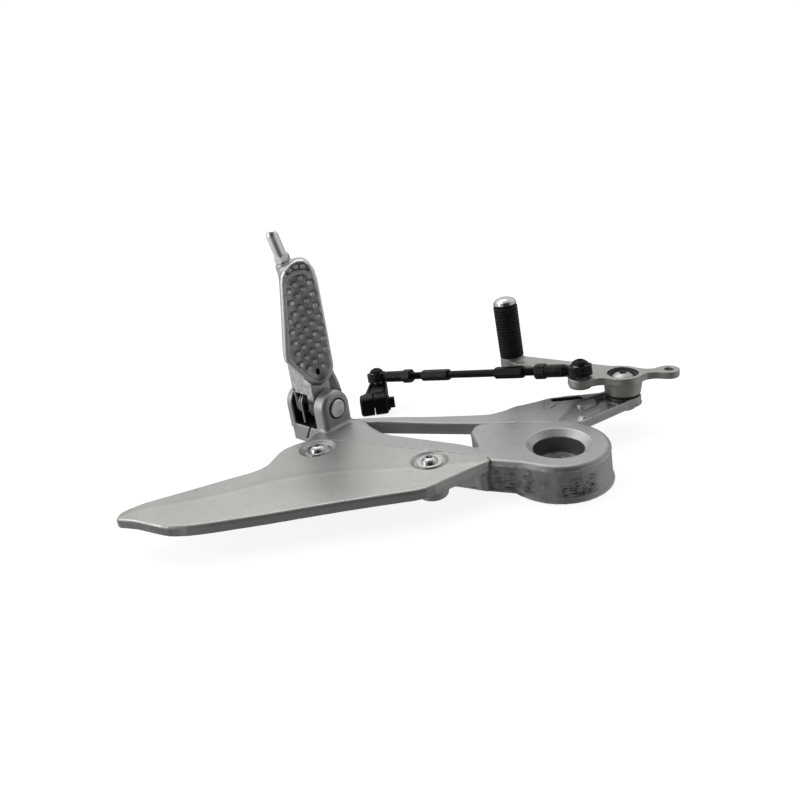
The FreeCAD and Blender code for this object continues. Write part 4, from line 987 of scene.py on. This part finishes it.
MATS = {
    "cast_silver": silver("cast_silver_finish", (0.39, 0.388, 0.383), extra=hanger_marks, wear=0.35),
    "guard_silver": silver("guard_silver_finish", (0.42, 0.414, 0.402), rough=(0.34, 0.46), grain=4200.0, grain_h=0.000012, wear=0.25, extra=guard_marks),
    "peg_alloy": silver("peg_alloy_finish", (0.46, 0.46, 0.455), rough=(0.32, 0.48), grain=2600.0, grain_h=0.00003, wear=0.5, extra=peg_marks),
    "lever_alloy": silver("lever_alloy_finish", (0.40, 0.39, 0.37), rough=(0.36, 0.48), grain=3600.0, grain_h=0.000014, wear=0.3),
    "stainless": plated("stainless_finish", (0.56, 0.555, 0.545), (0.10, 0.2)),
    "zinc_steel": plated("zinc_steel_finish", (0.38, 0.385, 0.385), (0.26, 0.4)),
    "bright_zinc": plated("bright_zinc_finish", (0.78, 0.78, 0.78), (0.24, 0.38)),
    "black_steel": black("black_steel_finish"),
    "black_rubber": rubber("black_rubber_finish"),
    "bronze": plated("bronze_finish", (0.48, 0.33, 0.15), (0.3, 0.45), stain=(0.2, 0.13, 0.06)),
    "liner": black("liner_finish", (0.02, 0.02, 0.02), (0.5, 0.65), (0.05, 0.05, 0.05)),
}
ARM_FINISH = black("arm_black_finish", extra=arm_marks)

# ------------------------------------------------------------------ pieces
H = (lambda fine, quick: fine if FINE else quick)


def place(obj, node, body, slot, ride=True):
    obj.data.materials.clear()
    obj.data.materials.append(MATS[slot])
    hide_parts(node)
    if ride:
        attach(obj, body)
    return obj


place(solid("hanger_casting_visual", f_hanger, (-180, -37, -2), (79, 112, 54), H(0.66, 1.1), 190000), "hanger_casting", "hanger", "cast_silver")
place(solid("heel_guard_visual", f_guard, (-277, -40, 8), (-41, 56, 28), H(0.64, 1.0), 150000), "heel_guard", "hanger", "guard_silver")
place(solid("footrest_peg_visual", f_peg, (-178, 60, 24), (-128, 106, 148), H(0.44, 0.7), 180000), "footrest_peg", "footrest", "peg_alloy")
place(solid("shift_lever_visual", f_lever, (-14, 42, 22), (103, 127, 43), H(0.5, 0.8), 90000), "shift_lever", "lever", "lever_alloy")
place(solid("shift_arm_visual", f_arm, (-133, 128, -3), (-99, 179, 20), H(0.42, 0.7), 70000), "shift_arm", "arm", "black_steel").data.materials[0] = ARM_FINISH


def soften(obj, angle):
    """Shades gentle facets smooth and keeps edges over the angle sharp."""
    mesh = obj.data
    mesh.polygons.foreach_set("use_smooth", np.ones(len(mesh.polygons), bool))
    mesh.set_sharp_from_angle(angle=math.radians(angle))


rod = build_rod()
soften(rod, 32)
place(rod, "link_rod", "rod", "black_steel")

feel = build_feeler()
soften(feel, 32)
place(feel, "bank_feeler", "footrest", "bright_zinc")

spring = build_spring()
soften(spring, 60)
place(spring, "return_spring", "hanger", "zinc_steel", ride=False)
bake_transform(spring)

slots = {s["node"]: s["material_slot"] for s in frame["record"]["subparts"]}
for node, obj in NODES.items():
    if obj.hide_render:
        continue
    if not obj.data.materials:
        obj.data.materials.append(None)
    for i in range(len(obj.material_slots)):
        obj.material_slots[i].link = "OBJECT"
        obj.material_slots[i].material = MATS[slots[node]]

# ------------------------------------------------------------------ stage, light, camera
floor_mat = bpy.data.materials.new("floor_finish")
floor_mat.use_nodes = True
nt = floor_mat.node_tree
pb = nt.nodes["Principled BSDF"]
pb.inputs["Base Color"].default_value = (0.22, 0.22, 0.22, 1)
pb.inputs["Roughness"].default_value = 0.9
pb.inputs["Specular IOR Level"].default_value = 0.0
pb.inputs["Emission Color"].default_value = (1, 1, 1, 1)
pb.inputs["Emission Strength"].default_value = 0.88
floor = new_object("floor", [(-8, -8, -0.0006), (8, -8, -0.0006), (8, 8, -0.0006), (-8, 8, -0.0006)], [(0, 1, 2, 3)])
floor.data.materials.append(floor_mat)
floor.visible_glossy = False
floor.visible_diffuse = False

world = bpy.data.worlds.new("studio")
bpy.context.scene.world = world
world.use_nodes = True
wt = world.node_tree
wt.nodes.clear()


def wn(kind, **kw):
    n = wt.nodes.new(kind)
    for k, v in kw.items():
        setattr(n, k, v)
    return n


def wspan(src, a, b, c, d):
    n = wn("ShaderNodeMapRange", interpolation_type="SMOOTHSTEP", clamp=True)
    wt.links.new(src, n.inputs["Value"])
    for k, v in (("From Min", a), ("From Max", b), ("To Min", c), ("To Max", d)):
        n.inputs[k].default_value = v
    return n.outputs["Result"]


def wmath(op, a, b):
    n = wn("ShaderNodeMath", operation=op)
    for i, v in enumerate((a, b)):
        if hasattr(v, "is_output"):
            wt.links.new(v, n.inputs[i])
        else:
            n.inputs[i].default_value = v
    return n.outputs[0]


sky = wn("ShaderNodeSeparateXYZ")
wt.links.new(wn("ShaderNodeTexCoord").outputs["Generated"], sky.inputs[0])
sx, sy, sz = sky.outputs
lobe = wmath("ADD", wmath("MULTIPLY", sy, 0.6), wmath("MULTIPLY", sz, 0.8))
dome = wspan(lobe, 0.48, 0.92, 0.0, 1.0)
left = wmath("MULTIPLY", wspan(sx, -0.3, -0.9, 0.0, 0.8), wspan(sz, -0.7, 0.1, 0.45, 1.0))
right = wmath("MULTIPLY", wspan(sx, 0.35, 0.92, 0.0, 0.6), wspan(sz, -0.7, 0.1, 0.45, 1.0))
below = wspan(sz, 0.0, -0.35, 0.0, 0.17)
light = wmath("ADD", wmath("ADD", dome, left), wmath("ADD", right, below))
light = wmath("ADD", light, 0.04)
bg = wn("ShaderNodeBackground")
bg.inputs["Color"].default_value = (1.0, 0.995, 0.985, 1)
wt.links.new(light, bg.inputs["Strength"])
plain = wn("ShaderNodeBackground")
plain.inputs["Color"].default_value = (1, 1, 1, 1)
plain.inputs["Strength"].default_value = 1.0
mixer = wn("ShaderNodeMixShader")
wt.links.new(wn("ShaderNodeLightPath").outputs["Is Camera Ray"], mixer.inputs[0])
wt.links.new(bg.outputs[0], mixer.inputs[1])
wt.links.new(plain.outputs[0], mixer.inputs[2])
wo = wn("ShaderNodeOutputWorld")
wt.links.new(mixer.outputs[0], wo.inputs[0])


def softbox(name, loc, target, size, power):
    data = bpy.data.lights.new(name, "AREA")
    data.shape = "RECTANGLE"
    data.size, data.size_y = size
    data.energy = power
    obj = bpy.data.objects.new(name, data)
    bpy.context.scene.collection.objects.link(obj)
    obj.location = loc
    d = Vector(target) - Vector(loc)
    obj.rotation_euler = d.to_track_quat("-Z", "Y").to_euler()
    obj.visible_camera = False
    return obj


softbox("key", (-0.25, 0.55, 1.1), (-0.05, 0.05, 0.0), (1.0, 0.8), 3.0)
softbox("rim_left", (-1.1, -0.1, 0.45), (-0.1, 0.05, 0.06), (0.3, 0.5), 2.4)

cam_data = bpy.data.cameras.new("camera")
cam_data.sensor_width = 36.0
cam_data.sensor_fit = "HORIZONTAL"
cam_data.lens = 28.8
cam_data.clip_start = 0.01
cam_data.clip_end = 50.0
cam = bpy.data.objects.new("camera", cam_data)
bpy.context.scene.collection.objects.link(cam)
RIGHT, UP, FWD = Vector((0.99027, -0.05382, -0.12835)), Vector((0.13917, 0.38295, 0.91322)), Vector((0.0, 0.92220, -0.38671))
rot = Matrix((RIGHT, UP, -FWD)).transposed().to_4x4()
cam.matrix_world = Matrix.Translation(Vector((-0.093857, -0.351554, 0.214518))) @ rot
bpy.context.scene.camera = cam
bpy.context.scene.view_settings.view_transform = "Standard"
bpy.context.scene.cycles.use_denoising = True
